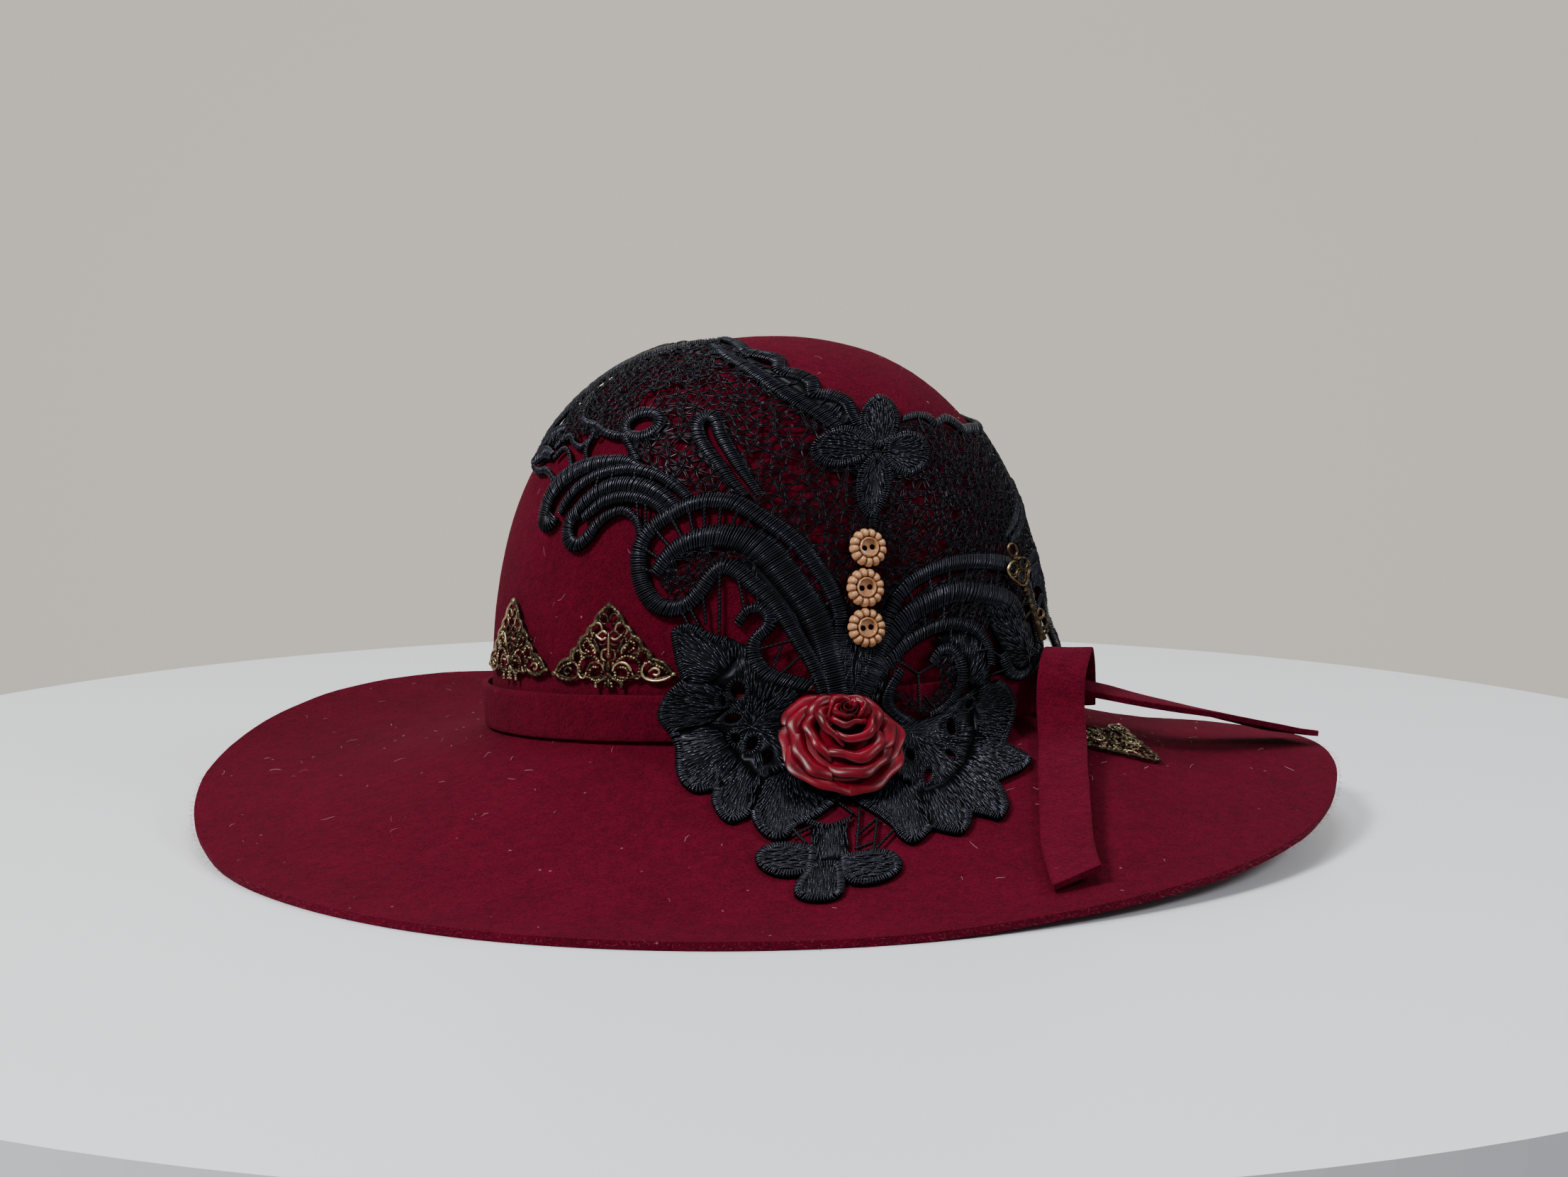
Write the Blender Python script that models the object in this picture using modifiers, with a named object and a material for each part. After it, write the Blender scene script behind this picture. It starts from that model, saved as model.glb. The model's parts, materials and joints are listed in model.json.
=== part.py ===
# Wide brim felt hat with a round crown, a tied felt band, a black lace collar sewn on its front,
# three flower buttons, a ribbon rose, three pierced brass triangles and a brass key.
# Metres, +Z up. The hat stands on z = 0 and is seen from the -Y side, with its length along X.
import math

import bmesh
import bpy
from mathutils import Matrix, Vector
from mathutils.geometry import delaunay_2d_cdt

# Felt body
FELT = 0.0025
CROWN_LENGTH = 0.195
CROWN_WIDTH = 0.172
CROWN_HEIGHT = 0.132
CROWN_ROUNDNESS = 2.45
CROWN_FOOT_HEIGHT = 0.0335
CROWN_FRONT_LIFT = 3.2
CROWN_SIDE_LIFT = 2.2
FOOT_FILLET = 0.0015
BRIM_LENGTH = 0.390
BRIM_WIDTH = 0.380
BRIM_DROOP = 0.030

# Band and its two ends
BAND_WIDTH = 0.0145
BAND_THICKNESS = 0.0022
BAND_FOOT = 0.0010
BAND_FLARE = 0.0010
TAIL_WIDTH = 0.0155

# Lace, buttons, rose and brass
LACE_WIDTH = 0.300
LACE_THICKNESS = 0.0012
LACE_LEAN = 13.5
LACE_AZIMUTH = 284.0
BUTTON_DIAMETER = 0.0125
BUTTON_THICKNESS = 0.0032
BUTTON_HOLE = 0.0019
ROSE_DIAMETER = 0.042
ROSE_DEPTH = 0.015
FILIGREE_WIDTH = 0.0435
FILIGREE_HEIGHT = 0.0275
FILIGREE_THICKNESS = 0.0009
KEY_LENGTH = 0.034
KEY_THICKNESS = 0.0016
KEY_SHAFT = 0.0021
GAP = 0.0003

# The brim's edge every 30 degrees, seen from above and counted from +X: how far it reaches as a
# share of the brim's half size, its height as a share of the droop, and the slope of the felt
# where it leaves the crown and where it ends, in degrees.
BRIM_WAVES = (
    # azimuth, reach, height, fall, lip
    (0, 1.008, 0.70, -16, -4),
    (30, 0.990, 0.48, -18, -6),
    (60, 1.000, 0.16, -20, -4),
    (90, 0.990, 0.04, -22, -3),
    (120, 0.995, 0.78, -14, 10),
    (150, 0.995, 0.93, -16, 14),
    (180, 1.008, 0.55, -14, 2),
    (210, 1.022, 0.12, -18, -6),
    (240, 1.020, 0.04, -24, -6),
    (270, 0.986, 0.04, -28, -5),
    (300, 0.958, 0.16, -25, -5),
    (330, 0.985, 0.36, -20, -6),
)

# The tied ends, as points over the felt: azimuth, share of the way out over the brim, height over
# the felt and width of the strip as shares of the band's and the tail's width, and the turn of
# the strip about its run, in degrees. The front one folds over the back one beside the crown.
FRONT_TAIL = (
    # azimuth, out, lift, width, turn
    (343.5, 0.108, 0.35, 0.90, 0),
    (342.5, 0.106, 1.10, 0.95, 0),
    (335.5, 0.125, 1.86, 1.00, 0),
    (328.5, 0.155, 1.45, 1.00, 0),
    (325.5, 0.185, 0.80, 1.00, 0),
    (321.6, 0.245, 0.36, 1.00, 3),
    (315.2, 0.355, 0.33, 1.00, 6),
    (308.7, 0.520, 0.29, 1.00, 8),
    (303.2, 0.710, 0.28, 1.00, 7),
    (300.2, 0.880, 0.26, 1.00, 6),
)
BACK_TAIL = (
    # azimuth, out, lift, width, turn
    (333.5, 0.0515, 0.95, 0.60, 14),
    (338.7, 0.230, 1.08, 0.75, 12),
    (344.5, 0.360, 1.00, 0.95, 8),
    (351.8, 0.520, 0.80, 1.00, 2),
    (357.7, 0.700, 0.52, 1.00, -2),
    (1.2, 0.850, 0.30, 1.00, -4),
    (2.4, 0.925, 0.24, 1.00, -4),
)

# The lace's left half, in 300ths of its width from its centre line and from the crown's foot.
# Each cord is a raised stitched line: its group, width and the points that it runs through.
LACE_CORDS = (
    # group, width, run
    ("wing", 5.5, ((-62, 42), (-69, 46), (-74, 56), (-69, 69), (-56, 76), (-44, 77), (-32, 70),
                   (-20, 57), (-11, 43), (-6, 26))),
    ("wing", 6.0, ((-69, 53), (-61, 61), (-52, 64), (-42, 64), (-35, 60), (-28, 53), (-21, 45),
                   (-14, 34))),
    ("wing", 5.5, ((-62, 42), (-54, 45), (-49, 52), (-44, 54), (-38, 52), (-31, 46), (-23, 38),
                   (-15, 27), (-11, 18))),
    ("wing", 8.0, ((-54, 79), (-68, 90), (-84, 96), (-99, 93), (-111, 86), (-117, 76),
                   (-117, 70))),
    ("wing", 8.0, ((-62, 74), (-72, 83), (-83, 84), (-92, 80), (-99, 72), (-99, 66))),
    ("wing", 3.0, ((-141, 92), (-131, 98), (-120, 105), (-106, 106), (-92, 104))),
    ("fan", 4.5, ((-57, 33), (-48, 36), (-42, 33), (-36, 38), (-30, 34), (-28, 22), (-20, 12))),
)
# Round lobes: group, centre, half width, half height and turn in degrees.
LACE_LOBES = (
    # group, x, y, half width, half height, turn
    ("fan", -47, 25, 11, 10, 20),
    ("fan", -46, 7, 11, 9, 0),
    ("fan", -39, -9, 10, 10, 0),
    ("fan", -31, -23, 9, 10, 0),
    ("fan", -20, -34, 9, 9, 0),
    ("fan", -27, -8, 20, 22, 0),
    ("fan", -10, -26, 14, 12, 0),
    ("centre", 0, -3, 21, 19, 0),
    ("centre", 0, 100, 6.5, 12, 0),
    ("centre", -14, 91, 9, 7.5, 0),
    ("centre", 12, 89, 9, 7.5, 0),
    ("centre", -1, 75, 6, 13, 0),
    ("centre", -5, -46, 7.5, 9, 0),
    ("centre", -16, -56, 11, 6, -4),
    ("centre", 6, -57, 11, 6, 4),
    ("centre", -5, -67, 7.5, 7.5, 0),
    ("centre", -2, -32, 6, 12, 12),
    ("wing", -117, 68, 5, 5, 0),
    ("wing", -99, 65, 5, 5, 0),
    ("wing", -58, 104, 6, 7, 0),
)
# The net ground, closed here as one sheet: group and outline.
LACE_NETS = (
    # group, outline
    ("wing", ((0, 100), (-10, 106), (-18, 114), (-27, 117), (-38, 130), (-48, 146), (-55, 156),
              (-68, 152), (-84, 146), (-100, 136), (-118, 122), (-130, 111), (-141, 93),
              (-131, 98), (-120, 105), (-106, 106), (-92, 104), (-86, 98), (-70, 92),
              (-60, 80), (-44, 77), (-32, 70), (-20, 57), (-11, 43), (-6, 28), (0, 30))),
    ("wing", ((-67, 52), (-61, 61), (-52, 64), (-42, 64), (-35, 60), (-28, 53), (-21, 45),
              (-14, 34), (-13, 24), (-23, 38), (-31, 46), (-38, 52), (-44, 54), (-49, 52),
              (-54, 46), (-62, 43))),
    ("centre", ((-6, 16), (-12, 40), (-27, 66), (-24, 100), (0, 106), (26, 104), (46, 100),
                (40, 60), (13, 38), (6, 16))),
)
# Round windows cut in the net and the fan: group, centre, half width, half height and turn.
LACE_WINDOWS = (
    # group, x, y, half width, half height, turn
    ("wing", -79, 106, 4.5, 3.0, -20),
    ("fan", -33, 12, 2.2, 4.5, 30),
    ("fan", -38, 3, 2.0, 4.5, 70),
    ("fan", -33, -7, 1.8, 4.0, 100),
    ("fan", -25, -14, 1.6, 3.6, 130),
)
# Thin bars over the open windows: group, the first cord and its share of run where the bars
# start and end, the same for the second cord, and how many bars.
LACE_BARS = (
    # group, cord, from, to, cord, from, to, count
    ("wing", 0, 0.26, 0.86, 1, 0.02, 0.94, 9),
    ("wing", 2, 0.12, 0.72, 6, 0.08, 0.92, 5),
    ("wing", 3, 0.40, 0.68, 5, 0.85, 0.45, 3),
    ("wing", 3, 0.22, 0.62, 4, 0.25, 0.70, 3),
)
BAR_WIDTH = 1.5
# How the groups lie on the right: turned about a point and moved, in the same 300ths.
RIGHT_TURN = {
    # group: pivot x, pivot y, turn, move x, move y
    "wing": (5, 35, -30, 0, 0),
    "fan": (15, 10, -20, 10, -16),
}

# Where the applied pieces sit: azimuth, share down the crown (past 1 over the brim) and turn.
BUTTON_PLACES = ((290.6, 0.686, 4), (289.2, 0.752, 4), (288.7, 0.819, 4))
ROSE_PLACE = (281.2, 1.115, 0)
FILIGREE_PLACES = ((239.2, 0.903, 0), (209.4, 0.898, 0), (338.2, 1.180, 172))
KEY_TOP = (328.0, 0.698)
KEY_FOOT = (333.9, 0.858)
KEY_TURN = -28.0

# The pierced triangle, in hundredths of its width and height: beads along its edges and holes.
FILIGREE_EDGE_BEADS = 6
FILIGREE_HOLES = (
    # x, y, half width, half height
    (0, 78, 4.5, 6),
    (0, 52, 5, 8),
    (-15, 38, 4.5, 6),
    (15, 38, 4.5, 6),
    (-30, 22, 5.5, 5),
    (30, 22, 5.5, 5),
    (-10, 18, 5, 6),
    (10, 18, 5, 6),
)

# The rose's petals in rings from the outside in: how many, how far out, how high, half width,
# half height and thickness as shares of the rose's radius (the rise, of its depth), then the
# lean and the first petal's turn in degrees.
ROSE_RINGS = (
    # count, out, rise, half width, half height, thick, lean, start
    (6, 0.56, 0.46, 0.42, 0.36, 0.24, 62, 10),
    (5, 0.34, 0.58, 0.36, 0.38, 0.20, 38, 44),
    (3, 0.15, 0.64, 0.26, 0.40, 0.17, 20, 5),
)

AZIMUTH_STEPS = 42
CROWN_RINGS = 9
BRIM_RINGS = 7
BAND_STEPS = 48
CURVE_SAMPLES = 1200
LACE_STEP_X = 13.5
LACE_STEP_Y = 10.5


# Hat surface. A place on it is an azimuth in degrees and a share: 0 at the top of the crown,
# 1 at the crown's foot and 2 at the edge of the brim.
def between(rows, column, position, period=360.0):
    """Smooth value of one column of a table whose first column is an azimuth."""
    position %= period
    count = len(rows)
    spacing = period / count
    index = int(position // spacing) % count
    t = position / spacing - index
    a, b, c, d = (rows[(index + k) % count][column] for k in (-1, 0, 1, 2))
    return 0.5 * (2 * b + (c - a) * t + (2 * a - 5 * b + 4 * c - d) * t * t
                  + (3 * b - a - 3 * c + d) * t ** 3)


def crown_frame(x, y, z):
    """From the crown's own upright frame to the hat, with its foot tipped as it stands."""
    place = Matrix.Rotation(-math.radians(CROWN_FRONT_LIFT), 3, "X")
    place = place @ Matrix.Rotation(-math.radians(CROWN_SIDE_LIFT), 3, "Y")
    return place @ Vector((x, y, z)) + Vector((0, 0, CROWN_FOOT_HEIGHT))


def crown_curve():
    """Radius share, height share and length run along the crown's profile from its top."""
    rows = [(0.0, 1.0, 0.0)]
    for step in range(1, CURVE_SAMPLES + 1):
        turn = 0.5 * math.pi * step / CURVE_SAMPLES
        radius = math.sin(turn) ** (2 / CROWN_ROUNDNESS)
        height = max(math.cos(turn), 0.0) ** (2 / CROWN_ROUNDNESS)
        run = rows[-1][2] + math.hypot((radius - rows[-1][0]) * CROWN_LENGTH / 2,
                                       (height - rows[-1][1]) * CROWN_HEIGHT)
        rows.append((radius, height, run))
    return rows


CROWN_CURVE = crown_curve()
CROWN_RUN = CROWN_CURVE[-1][2]
BRIM_RUN = (BRIM_LENGTH + BRIM_WIDTH - CROWN_LENGTH - CROWN_WIDTH) / 4


def crown_shares(share):
    """Radius and height shares at a share of the way down the crown."""
    target = min(max(share, 0.0), 1.0) * CROWN_RUN
    low, high = 0, CURVE_SAMPLES
    while high - low > 1:
        middle = (low + high) // 2
        if CROWN_CURVE[middle][2] <= target:
            low = middle
        else:
            high = middle
    first, second = CROWN_CURVE[low], CROWN_CURVE[high]
    t = (target - first[2]) / max(second[2] - first[2], 1e-12)
    return first[0] + (second[0] - first[0]) * t, first[1] + (second[1] - first[1]) * t


def crown_point(azimuth, share):
    radius, height = crown_shares(share)
    turn = math.radians(azimuth)
    return crown_frame(CROWN_LENGTH / 2 * radius * math.cos(turn),
                       CROWN_WIDTH / 2 * radius * math.sin(turn), CROWN_HEIGHT * height)


def brim_point(azimuth, out):
    """Top of the brim, from the crown's foot at 0 to the cut edge at 1."""
    turn = math.radians(azimuth)
    foot = crown_frame(CROWN_LENGTH / 2 * math.cos(turn), CROWN_WIDTH / 2 * math.sin(turn), 0)
    reach = between(BRIM_WAVES, 1, azimuth)
    edge = Vector((BRIM_LENGTH / 2 * reach * math.cos(turn),
                   BRIM_WIDTH / 2 * reach * math.sin(turn),
                   BRIM_DROOP * between(BRIM_WAVES, 2, azimuth)))
    level = math.hypot(edge.x - foot.x, edge.y - foot.y)
    fall = math.tan(math.radians(between(BRIM_WAVES, 3, azimuth))) * level
    lip = math.tan(math.radians(between(BRIM_WAVES, 4, azimuth))) * level
    t = out
    height = ((2 * t ** 3 - 3 * t * t + 1) * foot.z + (t ** 3 - 2 * t * t + t) * fall
              + (3 * t * t - 2 * t ** 3) * edge.z + (t ** 3 - t * t) * lip)
    return Vector((foot.x + (edge.x - foot.x) * t, foot.y + (edge.y - foot.y) * t,
                   max(height, FELT)))


def felt_point(azimuth, share):
    """Outer face of the felt, with the small fillet where the crown turns into the brim."""
    above = 1 - FOOT_FILLET / CROWN_RUN
    beyond = 1 + FOOT_FILLET * 1.3 / BRIM_RUN
    if share <= above:
        return crown_point(azimuth, share)
    if share >= beyond:
        return brim_point(azimuth, share - 1)
    t = (share - above) / (beyond - above)
    start = crown_point(azimuth, above)
    corner = crown_point(azimuth, 1)
    end = brim_point(azimuth, beyond - 1)
    return start * (1 - t) ** 2 + corner * 2 * t * (1 - t) + end * t * t


def normal_at(surface, azimuth, share):
    """Outward unit normal of a surface given as a function of azimuth and share."""
    around = surface(azimuth + 0.5, share) - surface(azimuth - 0.5, share)
    down = surface(azimuth, share + 0.004) - surface(azimuth, share - 0.004)
    return down.cross(around).normalized()


def share_below(share, run):
    """Share reached from another by a run down the hat, or up it where the run is negative."""
    height = (1 - share) * (CROWN_RUN if share < 1 else BRIM_RUN) - run
    return 1 - height / (CROWN_RUN if height > 0 else BRIM_RUN)


def girth_radius(share):
    """Mean level radius of the hat at a share."""
    points = [felt_point(azimuth, share) for azimuth in (0, 90, 180, 270)]
    return ((points[0] - points[2]).xy.length + (points[1] - points[3]).xy.length) / 4


BAND_TOP = 1 - (BAND_FOOT + BAND_WIDTH) / CROWN_RUN
DRAPE_TOP = BAND_TOP - 0.005
DRAPE_END = 1 + 0.0135 / BRIM_RUN
BAND_STAND = GAP + BAND_THICKNESS + BAND_FLARE


def smooth_step(low, high, value):
    t = min(max((value - low) / (high - low), 0.0), 1.0)
    return t * t * (3 - 2 * t)


def drape_point(azimuth, share):
    """Face on which the lace lies: on the felt, out over the band, and down to the brim."""
    stand = 3 * GAP
    over_band = BAND_STAND + 2 * GAP
    if share < DRAPE_TOP:
        lift = stand + (over_band - stand) * smooth_step(DRAPE_TOP - 0.09, DRAPE_TOP, share)
        return felt_point(azimuth, share) + normal_at(felt_point, azimuth, share) * lift
    if share > DRAPE_END:
        return felt_point(azimuth, share) + normal_at(felt_point, azimuth, share) * stand
    t = (share - DRAPE_TOP) / (DRAPE_END - DRAPE_TOP)
    side = normal_at(felt_point, azimuth, DRAPE_TOP)
    start = felt_point(azimuth, DRAPE_TOP) + side * over_band
    corner = felt_point(azimuth, 1 - BAND_FOOT / CROWN_RUN) + side * (over_band + GAP)
    end = felt_point(azimuth, DRAPE_END) + normal_at(felt_point, azimuth, DRAPE_END) * stand
    return start * (1 - t) ** 2 + corner * 2 * t * (1 - t) + end * t * t


# Modelling helpers
def make_material(name, color, roughness, metallic=0.0):
    material = bpy.data.materials.new(name)
    material.use_nodes = True
    shader = material.node_tree.nodes["Principled BSDF"]
    shader.inputs["Base Color"].default_value = (*color, 1.0)
    shader.inputs["Roughness"].default_value = roughness
    shader.inputs["Metallic"].default_value = metallic
    material.diffuse_color = (*color, 1.0)
    return material


def make_object(name, bm, material, smooth=40.0):
    """One named object from a bmesh, shaded smooth up to an angle in degrees."""
    bmesh.ops.recalc_face_normals(bm, faces=bm.faces)
    closed = all(edge.is_manifold for edge in bm.edges)
    if closed and bm.calc_volume(signed=True) < 0:
        bmesh.ops.reverse_faces(bm, faces=bm.faces)
    mesh = bpy.data.meshes.new(name)
    bm.to_mesh(mesh)
    bm.free()
    mesh.materials.append(material)
    mesh.shade_smooth()
    mesh.set_sharp_from_angle(angle=math.radians(smooth))
    obj = bpy.data.objects.new(name, mesh)
    parts.objects.link(obj)
    return obj


def apply_modifiers(obj):
    """Keep the modified shape as the object's own mesh."""
    view = bpy.context.evaluated_depsgraph_get()
    mesh = bpy.data.meshes.new_from_object(obj.evaluated_get(view))
    obj.modifiers.clear()
    old = obj.data
    obj.data = mesh
    bpy.data.meshes.remove(old)
    mesh.name = obj.name


def curve_through(points, samples):
    """Smooth run through points, with the same number of samples on each span."""
    run = []
    last = len(points) - 1
    for index in range(last):
        a, b = points[max(index - 1, 0)], points[index]
        c, d = points[index + 1], points[min(index + 2, last)]
        for step in range(samples):
            t = step / samples
            run.append(0.5 * (2 * b + (c - a) * t + (2 * a - 5 * b + 4 * c - d) * t * t
                              + (3 * b - a - 3 * c + d) * t ** 3))
    run.append(points[last])
    return run


def loft(name, sections, material, closed=False, smooth=40.0):
    """Solid through sections with the same number of corners."""
    bm = bmesh.new()
    loops = [[bm.verts.new(corner) for corner in section] for section in sections]
    corners = len(sections[0])
    pairs = list(zip(loops, loops[1:]))
    if closed:
        pairs.append((loops[-1], loops[0]))
    else:
        bm.faces.new(loops[0])
        bm.faces.new(loops[-1])
    for first, second in pairs:
        for k in range(corners):
            n = (k + 1) % corners
            bm.faces.new((first[k], first[n], second[n], second[k]))
    return make_object(name, bm, material, smooth)


def ellipse_outline(x, y, half_width, half_height, turn=0.0, steps=12):
    spin = Matrix.Rotation(math.radians(turn), 2)
    outline = []
    for k in range(steps):
        angle = 2 * math.pi * (k + 0.5) / steps
        offset = Vector((half_width * math.cos(angle), half_height * math.sin(angle)))
        outline.append(Vector((x, y)) + spin @ offset)
    return outline


def strip_outline(run, width):
    """Outline of a line of one width that follows a run of 2D points."""
    left, right = [], []
    for index, point in enumerate(run):
        ahead = run[min(index + 1, len(run) - 1)] - run[max(index - 1, 0)]
        across = Vector((-ahead.y, ahead.x)).normalized() * width / 2
        left.append(point + across)
        right.append(point - across)
    return left + right[::-1]


def signed_area(outline):
    pairs = zip(outline, outline[1:] + outline[:1])
    return sum(a.x * b.y - a.y * b.x for a, b in pairs) / 2


def plan_triangles(outlines, windows, lines=()):
    """Triangles of the union of the outlines less the windows, cut along extra lines."""
    points, faces, edges = [], [], []
    for outline in outlines + windows:
        faces.append(list(range(len(points), len(points) + len(outline))))
        points.extend(outline if signed_area(outline) > 0 else outline[::-1])
    for line in lines:
        edges.append((len(points), len(points) + 1))
        points.extend(line)
    result = delaunay_2d_cdt(points, edges, faces, 0, 0.02)
    solid = len(outlines)
    kept = [face for face, source in zip(result[2], result[5])
            if source and max(source) < solid]
    return result[0], kept


def plan_loops(outlines, windows, tolerance):
    """Outer loops and holes of the union of the outlines less the windows, simplified."""
    points, kept = plan_triangles(outlines, windows)
    ahead = {}
    used = {(face[k], face[(k + 1) % 3]) for face in kept for k in range(3)}
    for start, end in used:
        if (end, start) not in used:
            ahead.setdefault(start, []).append(end)
    outer, holes = [], []
    while ahead:
        start = min(ahead)
        loop = [start]
        while True:
            ends = ahead[loop[-1]]
            if len(ends) > 1 and len(loop) > 1:
                back = points[loop[-2]] - points[loop[-1]]
                ends.sort(key=lambda end: back.angle_signed(points[end] - points[loop[-1]])
                          % (2 * math.pi))
            following = ends.pop(0)
            if not ends:
                del ahead[loop[-1]]
            if following == start:
                break
            loop.append(following)
        outline = simplify([points[index].copy() for index in loop], tolerance)
        if len(outline) > 2 and abs(signed_area(outline)) > 1.5:
            (outer if signed_area(outline) > 0 else holes).append(outline)
    return outer, holes


def simplify(outline, tolerance):
    """Drop the corners of a closed outline that change it by less than a tolerance."""
    while len(outline) > 4:
        offsets = []
        for index, point in enumerate(outline):
            before, after = outline[index - 1], outline[(index + 1) % len(outline)]
            chord = after - before
            if chord.length < 1e-6:
                offsets.append((0.0, index))
                continue
            away = abs(chord.x * (point - before).y - chord.y * (point - before).x)
            short = min((point - before).length, (after - point).length) < tolerance
            offsets.append((away / chord.length * (0.4 if short else 1.0), index))
        offset, index = min(offsets)
        if offset > tolerance:
            break
        outline.pop(index)
    return outline


def flat_plan(outlines, windows, step_x, step_y, tolerance=0.25):
    """Triangles of the union of the outlines less the windows, cut by a grid of lines."""
    outer, holes = plan_loops(outlines, windows, tolerance)
    points = [point for outline in outer for point in outline]
    low_x, high_x = min(p.x for p in points), max(p.x for p in points)
    low_y, high_y = min(p.y for p in points), max(p.y for p in points)
    across = int((high_x - low_x) / step_x) + 1
    along = int((high_y - low_y) / step_y) + 1
    lines = []
    for k in range(1, across):
        x = low_x + (high_x - low_x) * k / across
        lines.append((Vector((x, low_y - 1)), Vector((x, high_y + 1))))
    for k in range(1, along):
        y = low_y + (high_y - low_y) * k / along
        lines.append((Vector((low_x - 1, y)), Vector((high_x + 1, y))))
    return plan_triangles(outer, holes, lines)


def part_pinches(bm):
    """Where two pieces of an open sheet meet only at a point, draw each fan of faces back."""
    for vert in list(bm.verts):
        if sum(1 for edge in vert.link_edges if edge.is_boundary) < 3:
            continue
        left = set(vert.link_faces)
        fans = []
        while left:
            fan, front = [], [left.pop()]
            while front:
                face = front.pop()
                fan.append(face)
                for edge in face.edges:
                    for other in edge.link_faces:
                        if vert in edge.verts and other in left:
                            left.remove(other)
                            front.append(other)
            fans.append(fan)
        for fan in fans:
            middle = sum((face.calc_center_median() for face in fan), Vector()) / len(fan)
            corner = bm.verts.new(vert.co.lerp(middle, 0.12))
            for face in fan:
                bm.faces.new([corner if v is vert else v for v in face.verts])
        bmesh.ops.delete(bm, geom=[vert], context="VERTS")


def laid_sheet(name, plan, place, thickness, material, smooth=50.0):
    """Flat triangles placed point by point on a surface and thickened outwards."""
    bm = bmesh.new()
    made = {}
    for face in plan[1]:
        for index in face:
            if index not in made:
                made[index] = bm.verts.new(place(plan[0][index]))
        bm.faces.new([made[index] for index in face])
    bmesh.ops.dissolve_degenerate(bm, edges=bm.edges, dist=2e-5)
    part_pinches(bm)
    obj = make_object(name, bm, material, smooth)
    outward = sum((face.normal.dot(face.center - Vector((0, 0, CROWN_FOOT_HEIGHT)))
                   for face in obj.data.polygons), 0.0)
    solid = obj.modifiers.new("thickness", "SOLIDIFY")
    solid.thickness = thickness
    solid.offset = 1.0 if outward > 0 else -1.0
    return obj


def join_solids(target, others):
    """Boolean union of solids into the first one."""
    for other in others:
        cut = target.modifiers.new("union", "BOOLEAN")
        cut.operation = "UNION"
        cut.object = other
    apply_modifiers(target)
    for other in others:
        bpy.data.objects.remove(other)


# Felt body: one blocked shell, hollow under the crown, with a cut edge
def build_body(material):
    shares = [k / CROWN_RINGS for k in range(1, CROWN_RINGS)]
    shares += [1 - 2.2 * FOOT_FILLET / CROWN_RUN, 1 - FOOT_FILLET / CROWN_RUN, 1.004,
               1 + 1.3 * FOOT_FILLET / BRIM_RUN]
    shares += [1 + (k + 0.5) / (BRIM_RINGS + 0.5) for k in range(1, BRIM_RINGS)]
    shares += [2.0]
    bm = bmesh.new()
    top = bm.verts.new(crown_point(0, 0))
    rings = []
    for share in shares:
        rings.append([bm.verts.new(felt_point(360 * k / AZIMUTH_STEPS, share))
                      for k in range(AZIMUTH_STEPS)])
    for k in range(AZIMUTH_STEPS):
        n = (k + 1) % AZIMUTH_STEPS
        bm.faces.new((top, rings[0][k], rings[0][n]))
        for inner, outer in zip(rings, rings[1:]):
            bm.faces.new((inner[k], outer[k], outer[n], inner[n]))
    obj = make_object("hat_body", bm, material, 60)
    wall = obj.modifiers.new("felt", "SOLIDIFY")
    wall.thickness = FELT
    wall.offset = -1.0
    wall.use_even_offset = True
    apply_modifiers(obj)
    for vertex in obj.data.vertices:
        if vertex.co.z < 0.2 * FELT:
            vertex.co.z = 0.0
    return obj


# Band: a felt strip round the crown's foot, its top edge standing a little off
def build_band(material):
    sections = []
    foot = 1 - BAND_FOOT / CROWN_RUN
    for k in range(BAND_STEPS):
        azimuth = 360 * k / BAND_STEPS
        low_side = normal_at(crown_point, azimuth, foot - 0.01)
        low = crown_point(azimuth, foot)
        high = crown_point(azimuth, BAND_TOP)
        up = (high - low).normalized()
        out = (low_side - up * low_side.dot(up)).normalized()
        clear = GAP * 2
        sections.append((low + out * clear, low + out * (clear + BAND_THICKNESS),
                         high + out * (clear + BAND_THICKNESS + BAND_FLARE / 2),
                         high + out * (clear + BAND_FLARE / 2)))
    return loft("hat_band", sections, material, closed=True, smooth=30)


# One end of the band as a strip in the air or on the brim
def build_tail(name, rows, material, side_hint, skew):
    centres = [felt_point(azimuth, 1 + out) + Vector((0, 0, lift * BAND_WIDTH))
               for azimuth, out, lift, width, turn in rows]
    shapes = curve_through([Vector((width, turn)) for azimuth, out, lift, width, turn in rows], 3)
    run = curve_through(centres, 3)
    sections = []
    for index, centre in enumerate(run):
        ahead = (run[min(index + 1, len(run) - 1)] - run[max(index - 1, 0)]).normalized()
        if side_hint is None:
            side = ahead.cross(Vector((0, 0, 1))).normalized()
        else:
            side = (side_hint - ahead * side_hint.dot(ahead)).normalized()
        width, turn = shapes[index]
        side = Matrix.Rotation(math.radians(turn), 3, ahead) @ side
        face = side.cross(ahead).normalized()
        half, thick = side * TAIL_WIDTH * width / 2, face * BAND_THICKNESS / 2
        slant = ahead * skew if index == len(run) - 1 else Vector((0, 0, 0))
        sections.append((centre - half - thick - slant, centre + half - thick + slant,
                         centre + half + thick + slant, centre - half + thick - slant))
    return loft(name, sections, material, smooth=35)


# Lace: one sheet with open windows, its right half the left one turned round the crown
def place_group(point, group, right):
    if not right:
        return Vector(point)
    flipped = Vector((-point[0], point[1]))
    if group not in RIGHT_TURN:
        return flipped
    pivot_x, pivot_y, turn, move_x, move_y = RIGHT_TURN[group]
    pivot = Vector((pivot_x, pivot_y))
    spin = Matrix.Rotation(math.radians(turn), 2)
    return pivot + spin @ (flipped - pivot) + Vector((move_x, move_y))


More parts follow.
